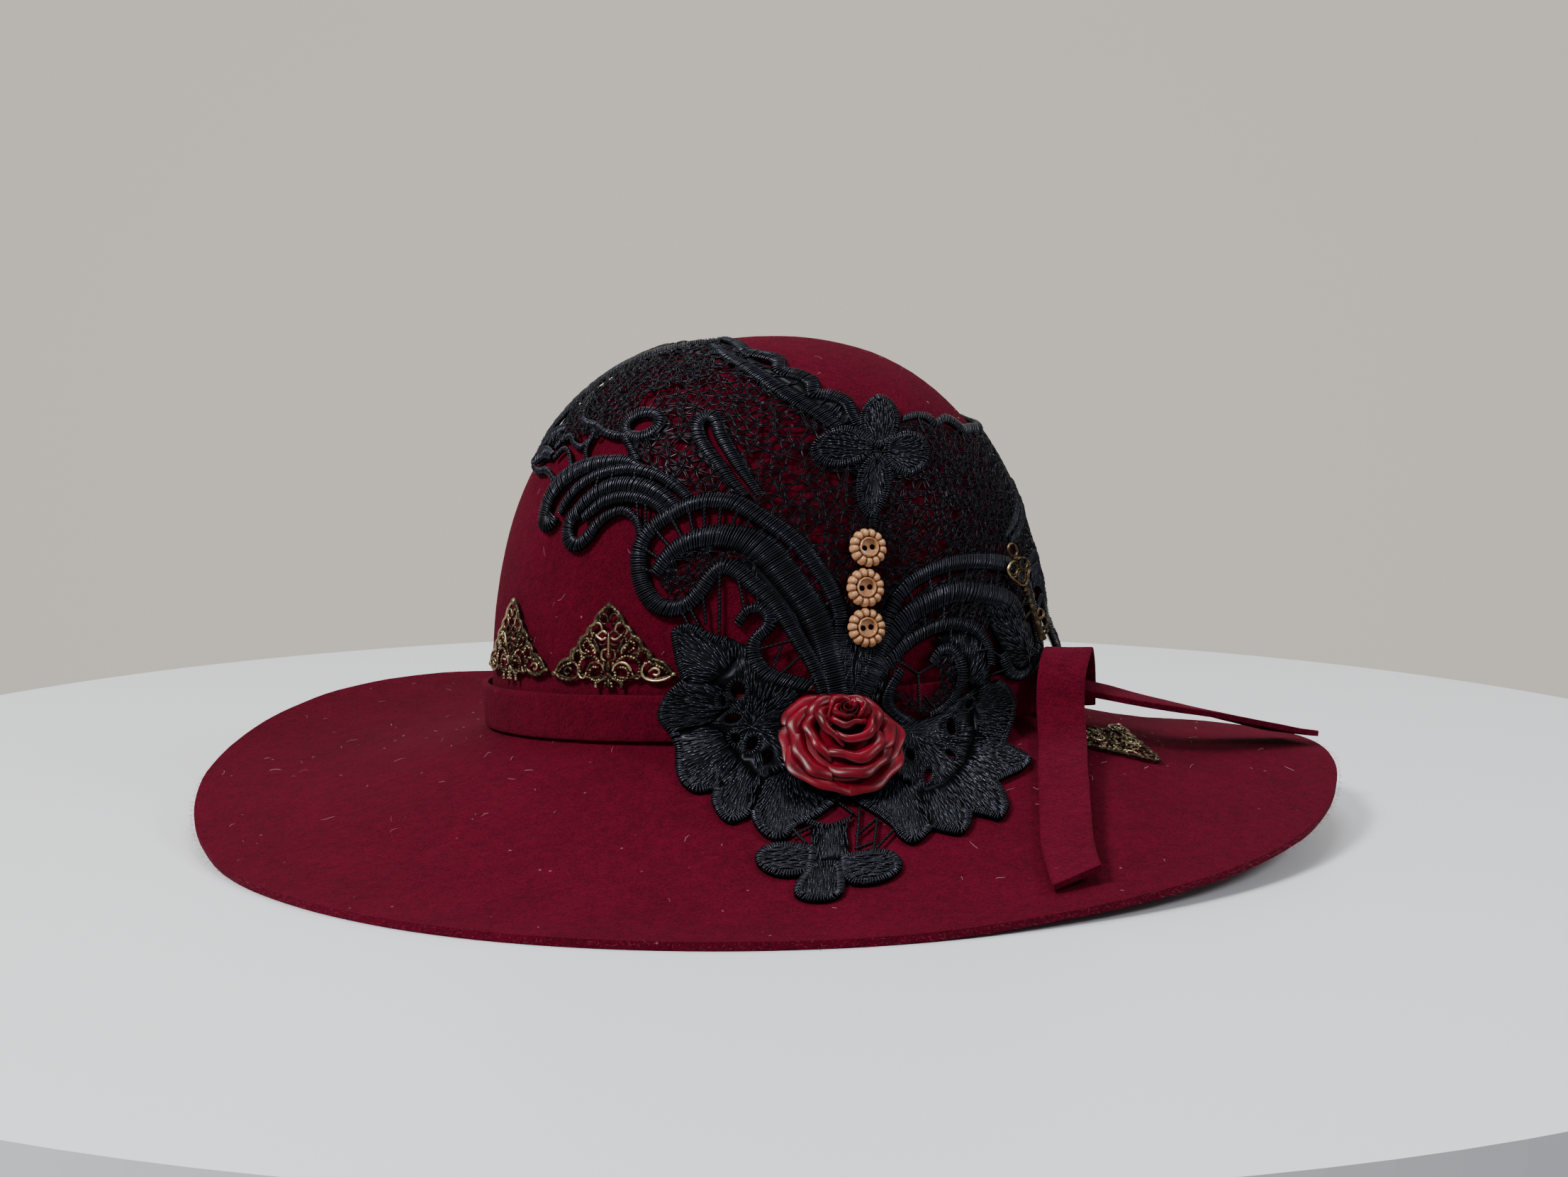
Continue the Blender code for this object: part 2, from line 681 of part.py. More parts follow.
def lace_plan():
    outlines, windows = [], []
    for right in (False, True):
        cords = []
        for group, width, run in LACE_CORDS:
            cord = curve_through([place_group(p, group, right) for p in run], 2)
            cords.append(cord)
            outlines.append(strip_outline(cord, width))
        for group, outline in LACE_NETS:
            if group != "centre" or not right:
                outlines.append([place_group(p, group, right) for p in outline])
        for group, x, y, half_width, half_height, turn in LACE_LOBES:
            if group == "centre" and right:
                continue
            steps = 14 if half_width > 8 else 10
            outline = ellipse_outline(x, y, half_width, half_height, turn, steps)
            outlines.append([place_group(p, group, right) for p in outline])
        for group, first, a, b, second, c, d, count in LACE_BARS:
            for k in range(count):
                share = k / (count - 1)
                start = cords[first][round((a + (b - a) * share) * (len(cords[first]) - 1))]
                end = cords[second][round((c + (d - c) * share) * (len(cords[second]) - 1))]
                outlines.append(strip_outline([start, end], BAR_WIDTH))
        for group, x, y, half_width, half_height, turn in LACE_WINDOWS:
            outline = ellipse_outline(x, y, half_width, half_height, turn, 7)
            windows.append([place_group(p, group, right) for p in outline])
    return flat_plan(outlines, windows, LACE_STEP_X, LACE_STEP_Y, 0.75)


def lace_place(point):
    """Wrap a plan point, in 300ths of the lace's width, on the crown and the brim."""
    unit = LACE_WIDTH / 300
    height = point.y * unit
    share = share_below(1, -height)
    girth = point.x * unit + height * math.tan(math.radians(LACE_LEAN))
    azimuth = LACE_AZIMUTH + math.degrees(girth / girth_radius(share))
    return drape_point(azimuth, share)


def build_lace(material):
    return laid_sheet("lace_applique", lace_plan(), lace_place, LACE_THICKNESS, material)


# Places on the face of the lace
def seat_frame(azimuth, share, turn, lift, reach):
    """Frame over the lace: x along the girth, y up the crown, z outwards, clear over its reach."""
    side = math.degrees(reach / girth_radius(share))
    along = drape_point(azimuth + side, share) - drape_point(azimuth - side, share)
    up = (drape_point(azimuth, share_below(share, -reach))
          - drape_point(azimuth, share_below(share, reach)))
    out = along.cross(up).normalized()
    up = (up - out * up.dot(out)).normalized()
    frame = Matrix((up.cross(out), up, out)).transposed()
    frame = frame @ Matrix.Rotation(math.radians(turn), 3, "Z")
    place = frame.to_4x4()
    seat = drape_point(azimuth, share)
    bulge = 0.0
    for ring in (0.5, 1.0):
        for k in range(12):
            angle = 2 * math.pi * k / 12
            spot = share_below(share, ring * reach * math.sin(angle))
            beside = drape_point(azimuth + ring * side * math.cos(angle), spot)
            bulge = max(bulge, (beside - seat).dot(out))
    place.translation = seat + out * (lift + bulge)
    return place


# Button: a round flower with raised petals, a dished middle and two sewing holes
def build_button(name, place, material):
    radius = BUTTON_DIAMETER / 2
    profile = ((0.40, 0.50), (0.50, 0.95), (0.82, 0.95), (1.00, 0.35), (0.90, 0.00))
    steps = 26
    bm = bmesh.new()
    rings = []
    for out, height in profile:
        ring = []
        for k in range(steps):
            notch = 1 - (0.07 if k % 2 else 0.0) * (1 if out > 0.8 else 0)
            angle = 2 * math.pi * k / steps
            ring.append(bm.verts.new((radius * out * notch * math.cos(angle),
                                      radius * out * notch * math.sin(angle),
                                      height * BUTTON_THICKNESS)))
        rings.append(ring)
    for first, second in zip(rings, rings[1:]):
        for k in range(steps):
            n = (k + 1) % steps
            bm.faces.new((first[k], second[k], second[n], first[n]))
    bm.faces.new(rings[0])
    bm.faces.new(rings[-1])
    obj = make_object(name, bm, material, 40)
    drills = []
    for side in (-1, 1):
        cutter = bmesh.new()
        bmesh.ops.create_cone(cutter, cap_ends=True, segments=6, radius1=BUTTON_HOLE / 2,
                              radius2=BUTTON_HOLE / 2, depth=4 * BUTTON_THICKNESS,
                              matrix=Matrix.Translation((side * radius * 0.21, 0, 0)))
        drills.append(make_object(name + "_drill", cutter, material))
    for drill in drills:
        cut = obj.modifiers.new("hole", "BOOLEAN")
        cut.operation = "DIFFERENCE"
        cut.object = drill
    apply_modifiers(obj)
    for drill in drills:
        bpy.data.objects.remove(drill)
    obj.matrix_world = place
    return obj


# Rose: rings of petals leaning out round a tight middle, on a round foot
def build_rose(place, material):
    radius = ROSE_DIAMETER / 2
    bm = bmesh.new()
    bmesh.ops.create_cone(bm, cap_ends=True, segments=16, radius1=radius * 0.62,
                          radius2=radius * 0.40, depth=ROSE_DEPTH * 0.6,
                          matrix=Matrix.Translation((0, 0, ROSE_DEPTH * 0.3)))
    rose = make_object("ribbon_rose", bm, material, 50)
    petals = []
    for count, out, rise, half_width, half_height, thick, lean, start in ROSE_RINGS:
        for k in range(count):
            petal = bmesh.new()
            bmesh.ops.create_uvsphere(petal, u_segments=9, v_segments=5, radius=1.0)
            size = Matrix.Diagonal((thick * radius, half_width * radius,
                                    half_height * radius, 1))
            pose = (Matrix.Rotation(math.radians(start + 360 * k / count), 4, "Z")
                    @ Matrix.Translation((out * radius, 0, ROSE_DEPTH * rise))
                    @ Matrix.Rotation(math.radians(lean), 4, "Y"))
            bmesh.ops.transform(petal, matrix=pose @ size, verts=petal.verts)
            petals.append(make_object("petal", petal, material, 50))
    join_solids(rose, petals)
    rose.matrix_world = place
    return rose


# Pierced triangle: beaded edges round an open scroll ground
def filigree_plan():
    corners = (Vector((-46, 8)), Vector((46, 8)), Vector((0, 94)))
    outlines = [[Vector((-44, 6)), Vector((44, 6)), Vector((0, 92))],
                [Vector((-14, 10)), Vector((-9, -4)), Vector((9, -4)), Vector((14, 10))]]
    for first, second in zip(corners, corners[1:] + corners[:1]):
        for k in range(FILIGREE_EDGE_BEADS):
            centre = first.lerp(second, k / FILIGREE_EDGE_BEADS)
            outlines.append(ellipse_outline(centre.x, centre.y, 5.4, 6.6, 0, 6))
    windows = [ellipse_outline(x, y, half_width, half_height, 0, 5)
               for x, y, half_width, half_height in FILIGREE_HOLES]
    return flat_plan(outlines, windows, 50, 50, 1.5)


def build_filigree(name, azimuth, share, turn, material):
    spin = Matrix.Rotation(math.radians(turn), 2)

    def place(point):
        offset = spin @ Vector((point.x * FILIGREE_WIDTH / 100,
                                (point.y - 3) * FILIGREE_HEIGHT / 100))
        spot = share_below(share, -offset.y)
        around = azimuth + math.degrees(offset.x / girth_radius(spot))
        return felt_point(around, spot) + normal_at(felt_point, around, spot) * 2.5 * GAP

    return laid_sheet(name, filigree_plan(), place, FILIGREE_THICKNESS, material, 30)


# Key: a pierced bow with a hanging eye, a round shaft and a bit, cast in one. Its plan is drawn in
# 35ths of its length, down from the eye.
def build_key(material):
    length = 35
    unit = KEY_LENGTH / length
    bow = -0.24 * length
    outlines = [ellipse_outline(0, -1.0, 2.4, 2.4, 0, 10),
                strip_outline([Vector((0, -3)), Vector((0, -5))], 2.6)]
    for x, y, size in ((-2.5, 1.6, 2.4), (2.5, 1.6, 2.4), (0, -1.9, 2.8), (0, 2.8, 2.2)):
        outlines.append(ellipse_outline(x, bow + y, size, size, 0, 10))
    outlines.append(strip_outline([Vector((0, bow - 3)), Vector((0, -length + 1))], 1.9))
    outlines.append([Vector((0, -length + 2)), Vector((3.8, -length + 2)),
                     Vector((3.8, -length + 6.5)), Vector((0, -length + 6.5))])
    windows = [ellipse_outline(x, bow + y, size, size, 0, 6)
               for x, y, size in ((-2.5, 1.6, 1.2), (2.5, 1.6, 1.2), (0, -2.0, 1.2))]
    windows.append(ellipse_outline(2.6, -length + 4.3, 0.7, 0.8, 0, 6))
    windows.append(ellipse_outline(0, -1.0, 1.4, 1.4, 0, 8))
    plan = flat_plan(outlines, windows, 60, 60)
    bm = bmesh.new()
    made = {}
    for face in plan[1]:
        for index in face:
            if index not in made:
                made[index] = bm.verts.new((plan[0][index].x * unit, plan[0][index].y * unit, 0))
        bm.faces.new([made[index] for index in face])
    obj = make_object("key_charm", bm, material, 30)
    solid = obj.modifiers.new("thickness", "SOLIDIFY")
    solid.thickness = KEY_THICKNESS
    solid.offset = 0.0
    shaft = bmesh.new()
    run = KEY_LENGTH * 0.62  # from the tip up into the bow
    bmesh.ops.create_cone(shaft, cap_ends=True, segments=10, radius1=KEY_SHAFT / 2,
                          radius2=KEY_SHAFT / 2, depth=run,
                          matrix=Matrix.Translation((0, -KEY_LENGTH + run / 2, 0))
                          @ Matrix.Rotation(math.pi / 2, 4, "X"))
    join_solids(obj, [make_object("shaft", shaft, material)])
    top = drape_point(*KEY_TOP)
    foot = drape_point(*KEY_FOOT)
    out = normal_at(drape_point, (KEY_TOP[0] + KEY_FOOT[0]) / 2, (KEY_TOP[1] + KEY_FOOT[1]) / 2)
    up = (top - foot).normalized()
    out = (out - up * out.dot(up)).normalized()
    out = Matrix.Rotation(math.radians(KEY_TURN), 3, up) @ out
    frame = Matrix((up.cross(out), up, out)).transposed().to_4x4()
    middle = drape_point((KEY_TOP[0] + KEY_FOOT[0]) / 2, (KEY_TOP[1] + KEY_FOOT[1]) / 2)
    lift = (max((middle - top).dot(out), 0.0) + LACE_THICKNESS + KEY_SHAFT / 2 + 2 * GAP
            + 0.14 * KEY_LENGTH * math.sin(abs(math.radians(KEY_TURN))))
    frame.translation = top + out * lift
    obj.matrix_world = frame
    return obj


def clear_scene():
    for obj in list(bpy.data.objects):
        bpy.data.objects.remove(obj)


clear_scene()
parts = bpy.data.collections.new("wide_brim_hat")
bpy.context.scene.collection.children.link(parts)

felt = make_material("burgundy_felt", (0.19, 0.006, 0.028), 0.95)
band_felt = make_material("band_felt", (0.16, 0.005, 0.024), 0.95)
black_lace = make_material("black_lace", (0.012, 0.013, 0.017), 0.55)
tan_gloss = make_material("tan_button", (0.56, 0.30, 0.18), 0.28)
red_satin = make_material("red_satin", (0.42, 0.008, 0.022), 0.35)
old_brass = make_material("antique_brass", (0.33, 0.24, 0.13), 0.42, 1.0)

build_body(felt)
build_band(band_felt)
build_tail("front_tail", FRONT_TAIL, band_felt, Vector((1, 0, 0)), -0.0045)
build_tail("back_tail", BACK_TAIL, band_felt, None, 0.002)
build_lace(black_lace)
lace_top = LACE_THICKNESS + GAP * 2
for number, (azimuth, share, turn) in enumerate(BUTTON_PLACES, 1):
    build_button(f"button_{number}",
                 seat_frame(azimuth, share, turn, lace_top, BUTTON_DIAMETER / 2), tan_gloss)
build_rose(seat_frame(*ROSE_PLACE, lace_top - GAP, 0.75 * ROSE_DIAMETER / 2), red_satin)
for number, (azimuth, share, turn) in enumerate(FILIGREE_PLACES, 1):
    build_filigree(f"filigree_{number}", azimuth, share, turn, old_brass)
build_key(old_brass)
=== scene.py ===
import json
import math

import bpy
import numpy as np
from mathutils import Matrix, Vector
from mathutils.geometry import delaunay_2d_cdt

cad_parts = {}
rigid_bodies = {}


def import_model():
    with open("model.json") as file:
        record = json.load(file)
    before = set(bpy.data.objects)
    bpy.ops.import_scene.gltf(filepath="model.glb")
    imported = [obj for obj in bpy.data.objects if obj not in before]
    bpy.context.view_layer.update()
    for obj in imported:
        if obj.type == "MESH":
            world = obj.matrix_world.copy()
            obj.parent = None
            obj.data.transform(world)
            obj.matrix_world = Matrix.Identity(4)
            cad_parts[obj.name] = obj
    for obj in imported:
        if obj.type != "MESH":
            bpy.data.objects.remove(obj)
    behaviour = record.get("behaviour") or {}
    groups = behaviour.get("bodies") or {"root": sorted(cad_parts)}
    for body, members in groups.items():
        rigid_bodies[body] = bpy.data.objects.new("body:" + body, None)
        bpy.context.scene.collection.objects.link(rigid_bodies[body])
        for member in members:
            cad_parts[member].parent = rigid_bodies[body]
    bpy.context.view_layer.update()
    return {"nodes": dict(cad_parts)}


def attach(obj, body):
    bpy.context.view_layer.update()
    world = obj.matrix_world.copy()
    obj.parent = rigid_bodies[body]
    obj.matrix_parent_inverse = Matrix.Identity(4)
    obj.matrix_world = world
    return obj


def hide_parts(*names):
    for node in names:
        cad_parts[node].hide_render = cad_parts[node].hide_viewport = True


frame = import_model()
shelf = bpy.context.scene.collection.objects
rng = np.random.default_rng(21)

# ---------------------------------------------------------------- floor, light and view
# The hat stands by itself on a plain round pale floor, seen from the front and a little above,
# with a plain pale wall behind. A soft window on the left, a weaker light on the right.
def set_inputs(node, values):
    for label, value in values.items():
        node.inputs[label].default_value = value


def new_material(name, values):
    """A material, its nodes and links, and its main shader with some of its inputs set."""
    material = bpy.data.materials.new(name)
    material.use_nodes = True
    tree = material.node_tree
    shader = tree.nodes["Principled BSDF"]
    set_inputs(shader, values)
    return material, tree.nodes, tree.links, shader


bpy.ops.object.select_all(action="DESELECT")
bpy.ops.mesh.primitive_cylinder_add(vertices=160, radius=0.41, depth=0.02,
                                    location=(0, 0.054, -0.0102))
floor = bpy.context.object
floor.name = "round_floor"
floor.data.materials.append(new_material("floor_white", {
    "Base Color": (0.80, 0.82, 0.86, 1), "Roughness": 0.36})[0])
bpy.ops.mesh.primitive_plane_add(size=9.0, location=(0, 3.2, 0), rotation=(math.pi / 2, 0, 0))
wall = bpy.context.object
wall.name = "pale_wall"
wall.data.materials.append(new_material("pale_wall_paint", {
    "Base Color": (0.6, 0.56, 0.50, 1), "Roughness": 0.9,
    "Emission Color": (0.74, 0.68, 0.59, 1), "Emission Strength": 0.62})[0])

bpy.ops.object.camera_add(location=(0.0047, -0.75, 0.16), rotation=(math.radians(83.7), 0, 0))
camera = bpy.context.object
camera.name = "front_view"
camera.data.sensor_width = 36.0
camera.data.lens = 49.43
camera.data.clip_start = 0.01
bpy.context.scene.camera = camera

for name, place, aim, size, power, tint in (
        ("window_light", (-0.95, -0.85, 1.35), (0, 0, 0.05), 0.42, 43.0, (1.0, 0.985, 0.97)),
        ("room_light", (1.15, -0.55, 0.95), (0, 0, 0.05), 0.4, 9.0, (0.95, 0.97, 1.0)),
        ("ceiling_light", (0.05, 0.45, 1.55), (0, 0, 0.08), 0.7, 12.0, (0.93, 0.96, 1.0))):
    lamp = bpy.data.lights.new(name, "AREA")
    lamp.energy, lamp.size, lamp.color = power, size, tint
    holder = bpy.data.objects.new(name, lamp)
    shelf.link(holder)
    holder.location = place
    holder.rotation_euler = (Vector(aim) - Vector(place)).to_track_quat("-Z", "Y").to_euler()
room = bpy.data.worlds.new("pale_room")
room.use_nodes = True
set_inputs(room.node_tree.nodes["Background"], {"Color": (0.83, 0.84, 0.86, 1), "Strength": 0.30})
bpy.context.scene.world = room

# ---------------------------------------------------------------- felt crown and brim
# One blocked shell of burgundy wool felt, about 2.5 mm thick: a round crown pressed over a
# block, and a wide floppy brim with a plain cut edge. Its nap is short, mottled and a bit dusty.
def select_only(piece):
    bpy.ops.object.select_all(action="DESELECT")
    piece.select_set(True)
    bpy.context.view_layer.objects.active = piece


def copy_of(node, name):
    """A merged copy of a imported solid, ready to be refined."""
    source = frame["nodes"][node]
    mesh = source.data.copy()
    mesh.name = name
    made = bpy.data.objects.new(name, mesh)
    shelf.link(made)
    select_only(made)
    bpy.ops.object.mode_set(mode="EDIT")
    bpy.ops.mesh.select_all(action="SELECT")
    bpy.ops.mesh.remove_doubles(threshold=1e-6)
    bpy.ops.mesh.tris_convert_to_quads(face_threshold=0.8, shape_threshold=0.9)
    bpy.ops.mesh.customdata_custom_splitnormals_clear() if mesh.has_custom_normals else None
    bpy.ops.object.mode_set(mode="OBJECT")
    mesh.materials.clear()
    return made


def finish_modifiers(piece):
    select_only(piece)
    for modifier in list(piece.modifiers):
        bpy.ops.object.modifier_apply(modifier=modifier.name)


def add_refine(piece, levels):
    refine = piece.modifiers.new("refine", "SUBSURF")
    refine.levels = refine.render_levels = levels


def add_lumps(piece, size, strength):
    """A slight unevenness, as pressed wool has."""
    clouds = bpy.data.textures.new(piece.name + "_lumps", "CLOUDS")
    clouds.noise_scale, clouds.noise_depth = size, 2
    lumps = piece.modifiers.new("lumps", "DISPLACE")
    lumps.texture, lumps.texture_coords, lumps.strength = clouds, "LOCAL", strength


def crease_edges(piece, angle, crease):
    """Mark the edges that turn by more than an angle, so that refining keeps them crisp."""
    mesh = piece.data
    turn = {}
    for face in mesh.polygons:
        for key in face.edge_keys:
            turn.setdefault(key, []).append(face.normal)
    attribute = mesh.attributes.new("crease_edge", "FLOAT", "EDGE")
    for edge in mesh.edges:
        sides = turn.get(tuple(sorted(edge.vertices)), ())
        if len(sides) == 2 and sides[0].angle(sides[1], 0.0) > math.radians(angle):
            attribute.data[edge.index].value = crease


def shade_by_angle(piece, angle):
    select_only(piece)
    bpy.ops.object.shade_smooth_by_angle(angle=math.radians(angle))


def new_group(name, inputs, outputs):
    group = bpy.data.node_groups.new(name, "ShaderNodeTree")
    for label, kind, value in inputs:
        socket = group.interface.new_socket(label, in_out="INPUT", socket_type=kind)
        socket.default_value = value
    for label, kind in outputs:
        group.interface.new_socket(label, in_out="OUTPUT", socket_type=kind)
    return group, group.nodes.new("NodeGroupInput"), group.nodes.new("NodeGroupOutput")


# Felt nap, shared by the hat, the band and its ends: clouds of darker and lighter wool, a fine
# matted grain and pale specks of lint.
nap, nap_in, nap_out = new_group(
    "felt_nap",
    (("Deep", "NodeSocketColor", (0.15, 0.003, 0.02, 1)),
     ("Lit", "NodeSocketColor", (0.27, 0.008, 0.045, 1)),
     ("Lint", "NodeSocketFloat", 1.0)),
    (("Color", "NodeSocketColor"), ("Height", "NodeSocketFloat")))
nodes, links = nap.nodes, nap.links
where = nodes.new("ShaderNodeTexCoord")


def add_noise(nodes, links, vector, scale, detail, rough):
    noise = nodes.new("ShaderNodeTexNoise")
    set_inputs(noise, {"Scale": scale, "Detail": detail, "Roughness": rough})
    links.new(vector, noise.inputs["Vector"])
    return noise.outputs["Fac"]


def add_range(nodes, links, value, low, high, to_low=0.0, to_high=1.0):
    ramp = nodes.new("ShaderNodeMapRange")
    set_inputs(ramp, {"From Min": low, "From Max": high, "To Min": to_low, "To Max": to_high})
    links.new(value, ramp.inputs["Value"])
    return ramp.outputs["Result"]


def add_math(nodes, links, operation, first, second):
    step = nodes.new("ShaderNodeMath")
    step.operation = operation
    for socket, value in zip(step.inputs, (first, second)):
        if isinstance(value, (int, float)):
            socket.default_value = value
        else:
            links.new(value, socket)
    return step.outputs["Value"]


def add_mix(nodes, links, factor, first, second):
    mix = nodes.new("ShaderNodeMix")
    mix.data_type = "RGBA"
    for socket, value in zip([mix.inputs[k] for k in (0, 6, 7)], (factor, first, second)):
        if isinstance(value, (tuple, float)):
            socket.default_value = value
        else:
            links.new(value, socket)
    return mix.outputs[2]


def add_group(nodes, group, values):
    made = nodes.new("ShaderNodeGroup")
    made.node_tree = group
    set_inputs(made, values)
    return made


def add_bump(nodes, links, height, shader, strength, distance):
    bump = nodes.new("ShaderNodeBump")
    set_inputs(bump, {"Strength": strength, "Distance": distance})
    links.new(height, bump.inputs["Height"])
    links.new(bump.outputs["Normal"], shader.inputs["Normal"])


clouds = add_noise(nodes, links, where.outputs["Object"], 42.0, 4.0, 0.6)
blotch = add_noise(nodes, links, where.outputs["Object"], 260.0, 3.0, 0.65)
matted = add_noise(nodes, links, where.outputs["Object"], 1300.0, 4.0, 0.75)
tone = add_math(nodes, links, "ADD", add_range(nodes, links, clouds, 0.3, 0.7, 0.0, 0.30),
                add_range(nodes, links, blotch, 0.28, 0.72, 0.0, 0.45))
tone = add_math(nodes, links, "ADD", tone, add_range(nodes, links, matted, 0.3, 0.7, -0.50, 0.80))
wool = add_mix(nodes, links, tone, nap_in.outputs["Deep"], nap_in.outputs["Lit"])
speck = nodes.new("ShaderNodeTexVoronoi")
speck.inputs["Scale"].default_value = 190.0
links.new(where.outputs["Object"], speck.inputs["Vector"])
rare = add_range(nodes, links, add_noise(nodes, links, where.outputs["Object"], 90.0, 1.0, 0.5),
                 0.60, 0.66)
dot = add_range(nodes, links, speck.outputs["Distance"], 0.05, 0.10, 1.0, 0.0)
lint = add_math(nodes, links, "MULTIPLY", add_math(nodes, links, "MULTIPLY", rare, dot),
                nap_in.outputs["Lint"])
links.new(add_mix(nodes, links, lint, wool, (0.55, 0.30, 0.33, 1.0)), nap_out.inputs["Color"])
links.new(add_math(nodes, links, "ADD", matted, add_math(nodes, links, "MULTIPLY", blotch, 1.4)),
          nap_out.inputs["Height"])


def felt_material(name, deep, lit, lint, sheen):
    material, nodes, links, shader = new_material(name, {
        "Roughness": 0.95, "Specular IOR Level": 0.06, "Sheen Weight": sheen,
        "Sheen Roughness": 0.42, "Sheen Tint": (0.90, 0.14, 0.28, 1)})
    grain = add_group(nodes, nap, {"Deep": (*deep, 1), "Lit": (*lit, 1), "Lint": lint})
    links.new(grain.outputs["Color"], shader.inputs["Base Color"])
    add_bump(nodes, links, grain.outputs["Height"], shader, 0.95, 0.0010)
    return material


burgundy = felt_material("burgundy_wool_felt", (0.046, 0.0004, 0.0058), (0.118, 0.0011, 0.0150),
                         0.35, 0.05)
felt_hat = copy_of("hat_body", "felt_hat")
crease_edges(felt_hat, 50, 1.0)
add_refine(felt_hat, 2)
add_lumps(felt_hat, 0.022, 0.0005)
finish_modifiers(felt_hat)
for vertex in felt_hat.data.vertices:
    vertex.co.z = max(vertex.co.z, 0.0)
felt_hat.data.materials.append(burgundy)
shade_by_angle(felt_hat, 40)
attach(felt_hat, "root")
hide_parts("hat_body")

# ---------------------------------------------------------------- felt band and its two ends
# A strip cut from the same felt goes round the foot of the crown. At the right one end folds
# over the other: it lies down the brim to the front, and the other end stands out to the right.
strip_felt = felt_material("band_wool_felt", (0.052, 0.0006, 0.0066), (0.122, 0.0014, 0.0160), 0.4,
                           0.08)
for node, name, width, length, held in (
        ("hat_band", "felt_band", 0.0145, 0.600, "laid"),
        ("front_tail", "felt_front_end", 0.0155, 0.170, "folded"),
        ("back_tail", "felt_back_end", 0.0155, 0.115, "laid")):
    strip = copy_of(node, name)
    crease_edges(strip, 40, 0.82)
    add_refine(strip, 3)
    add_lumps(strip, 0.016, 0.0003)
    finish_modifiers(strip)
    strip.data.materials.append(strip_felt)
    shade_by_angle(strip, 45)
    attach(strip, "root")
    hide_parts(node)

# ---------------------------------------------------------------- lace collar: ground
# A black guipure lace collar, machine embroidered in rayon, is sewn on the front of the crown
# and runs out over the band and the brim. Its motifs have a padded core under the stitches,
# made here as one thin closed ground with raised cords and flat petals.
HAT = {"felt": 0.0025, "crown": (0.195, 0.172, 0.132), "roundness": 2.45, "foot": 0.0335,
       "front_lift": 3.2, "side_lift": 2.2, "fillet": 0.0015, "brim": (0.390, 0.380),
       "droop": 0.030}
BRIM_EDGE = (  # azimuth, reach, height, fall, lip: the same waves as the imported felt
    (0, 1.008, 0.70, -16, -4), (30, 0.990, 0.48, -18, -6), (60, 1.000, 0.16, -20, -4),
    (90, 0.990, 0.04, -22, -3), (120, 0.995, 0.78, -14, 10), (150, 0.995, 0.93, -16, 14),
    (180, 1.008, 0.55, -14, 2), (210, 1.022, 0.12, -18, -6), (240, 1.020, 0.04, -24, -6),
    (270, 0.986, 0.04, -28, -5), (300, 0.958, 0.16, -25, -5), (330, 0.985, 0.36, -20, -6))


def spline(a, b, c, d, t):
    """Smoothly from b to c, with a before and d beyond them."""
    return 0.5 * (2 * b + (c - a) * t + (2 * a - 5 * b + 4 * c - d) * t * t
                  + (3 * b - a - 3 * c + d) * t ** 3)


def rounded(start, corner, finish, t):
    """From start to finish round a corner."""
    return start * (1 - t) ** 2 + corner * 2 * t * (1 - t) + finish * t * t


def wave(column, azimuth):
    position = azimuth % 360.0
    index = int(position // 30)
    return spline(*(BRIM_EDGE[(index + k) % 12][column] for k in (-1, 0, 1, 2)),
                  position / 30 - index)


CROWN_TILT = (Matrix.Rotation(-math.radians(HAT["front_lift"]), 3, "X")
              @ Matrix.Rotation(-math.radians(HAT["side_lift"]), 3, "Y"))
turns = np.linspace(0, math.pi / 2, 1201)
profile_out = np.sin(turns) ** (2 / HAT["roundness"])
profile_up = np.maximum(np.cos(turns), 0) ** (2 / HAT["roundness"])
profile_run = np.concatenate([[0], np.cumsum(np.hypot(
    np.diff(profile_out) * HAT["crown"][0] / 2, np.diff(profile_up) * HAT["crown"][2]))])
CROWN_RUN = float(profile_run[-1])
BRIM_RUN = (sum(HAT["brim"]) - HAT["crown"][0] - HAT["crown"][1]) / 4


def crown_place(azimuth, share):
    run = min(max(share, 0.0), 1.0) * CROWN_RUN
    out, up = np.interp(run, profile_run, profile_out), np.interp(run, profile_run, profile_up)
    turn = math.radians(azimuth)
    return (CROWN_TILT @ Vector((HAT["crown"][0] / 2 * out * math.cos(turn),
                                 HAT["crown"][1] / 2 * out * math.sin(turn),
                                 HAT["crown"][2] * up)) + Vector((0, 0, HAT["foot"])))


def brim_place(azimuth, out):
    turn = math.radians(azimuth)
    foot = crown_place(azimuth, 1.0)
    reach = wave(1, azimuth)
    edge = Vector((HAT["brim"][0] / 2 * reach * math.cos(turn),
                   HAT["brim"][1] / 2 * reach * math.sin(turn), HAT["droop"] * wave(2, azimuth)))
    level = math.hypot(edge.x - foot.x, edge.y - foot.y)
    fall = math.tan(math.radians(wave(3, azimuth))) * level
    lip = math.tan(math.radians(wave(4, azimuth))) * level
    t = out
    height = ((2 * t ** 3 - 3 * t * t + 1) * foot.z + (t ** 3 - 2 * t * t + t) * fall
              + (3 * t * t - 2 * t ** 3) * edge.z + (t ** 3 - t * t) * lip)
    return Vector((foot.x + (edge.x - foot.x) * t, foot.y + (edge.y - foot.y) * t,
                   max(height, HAT["felt"])))


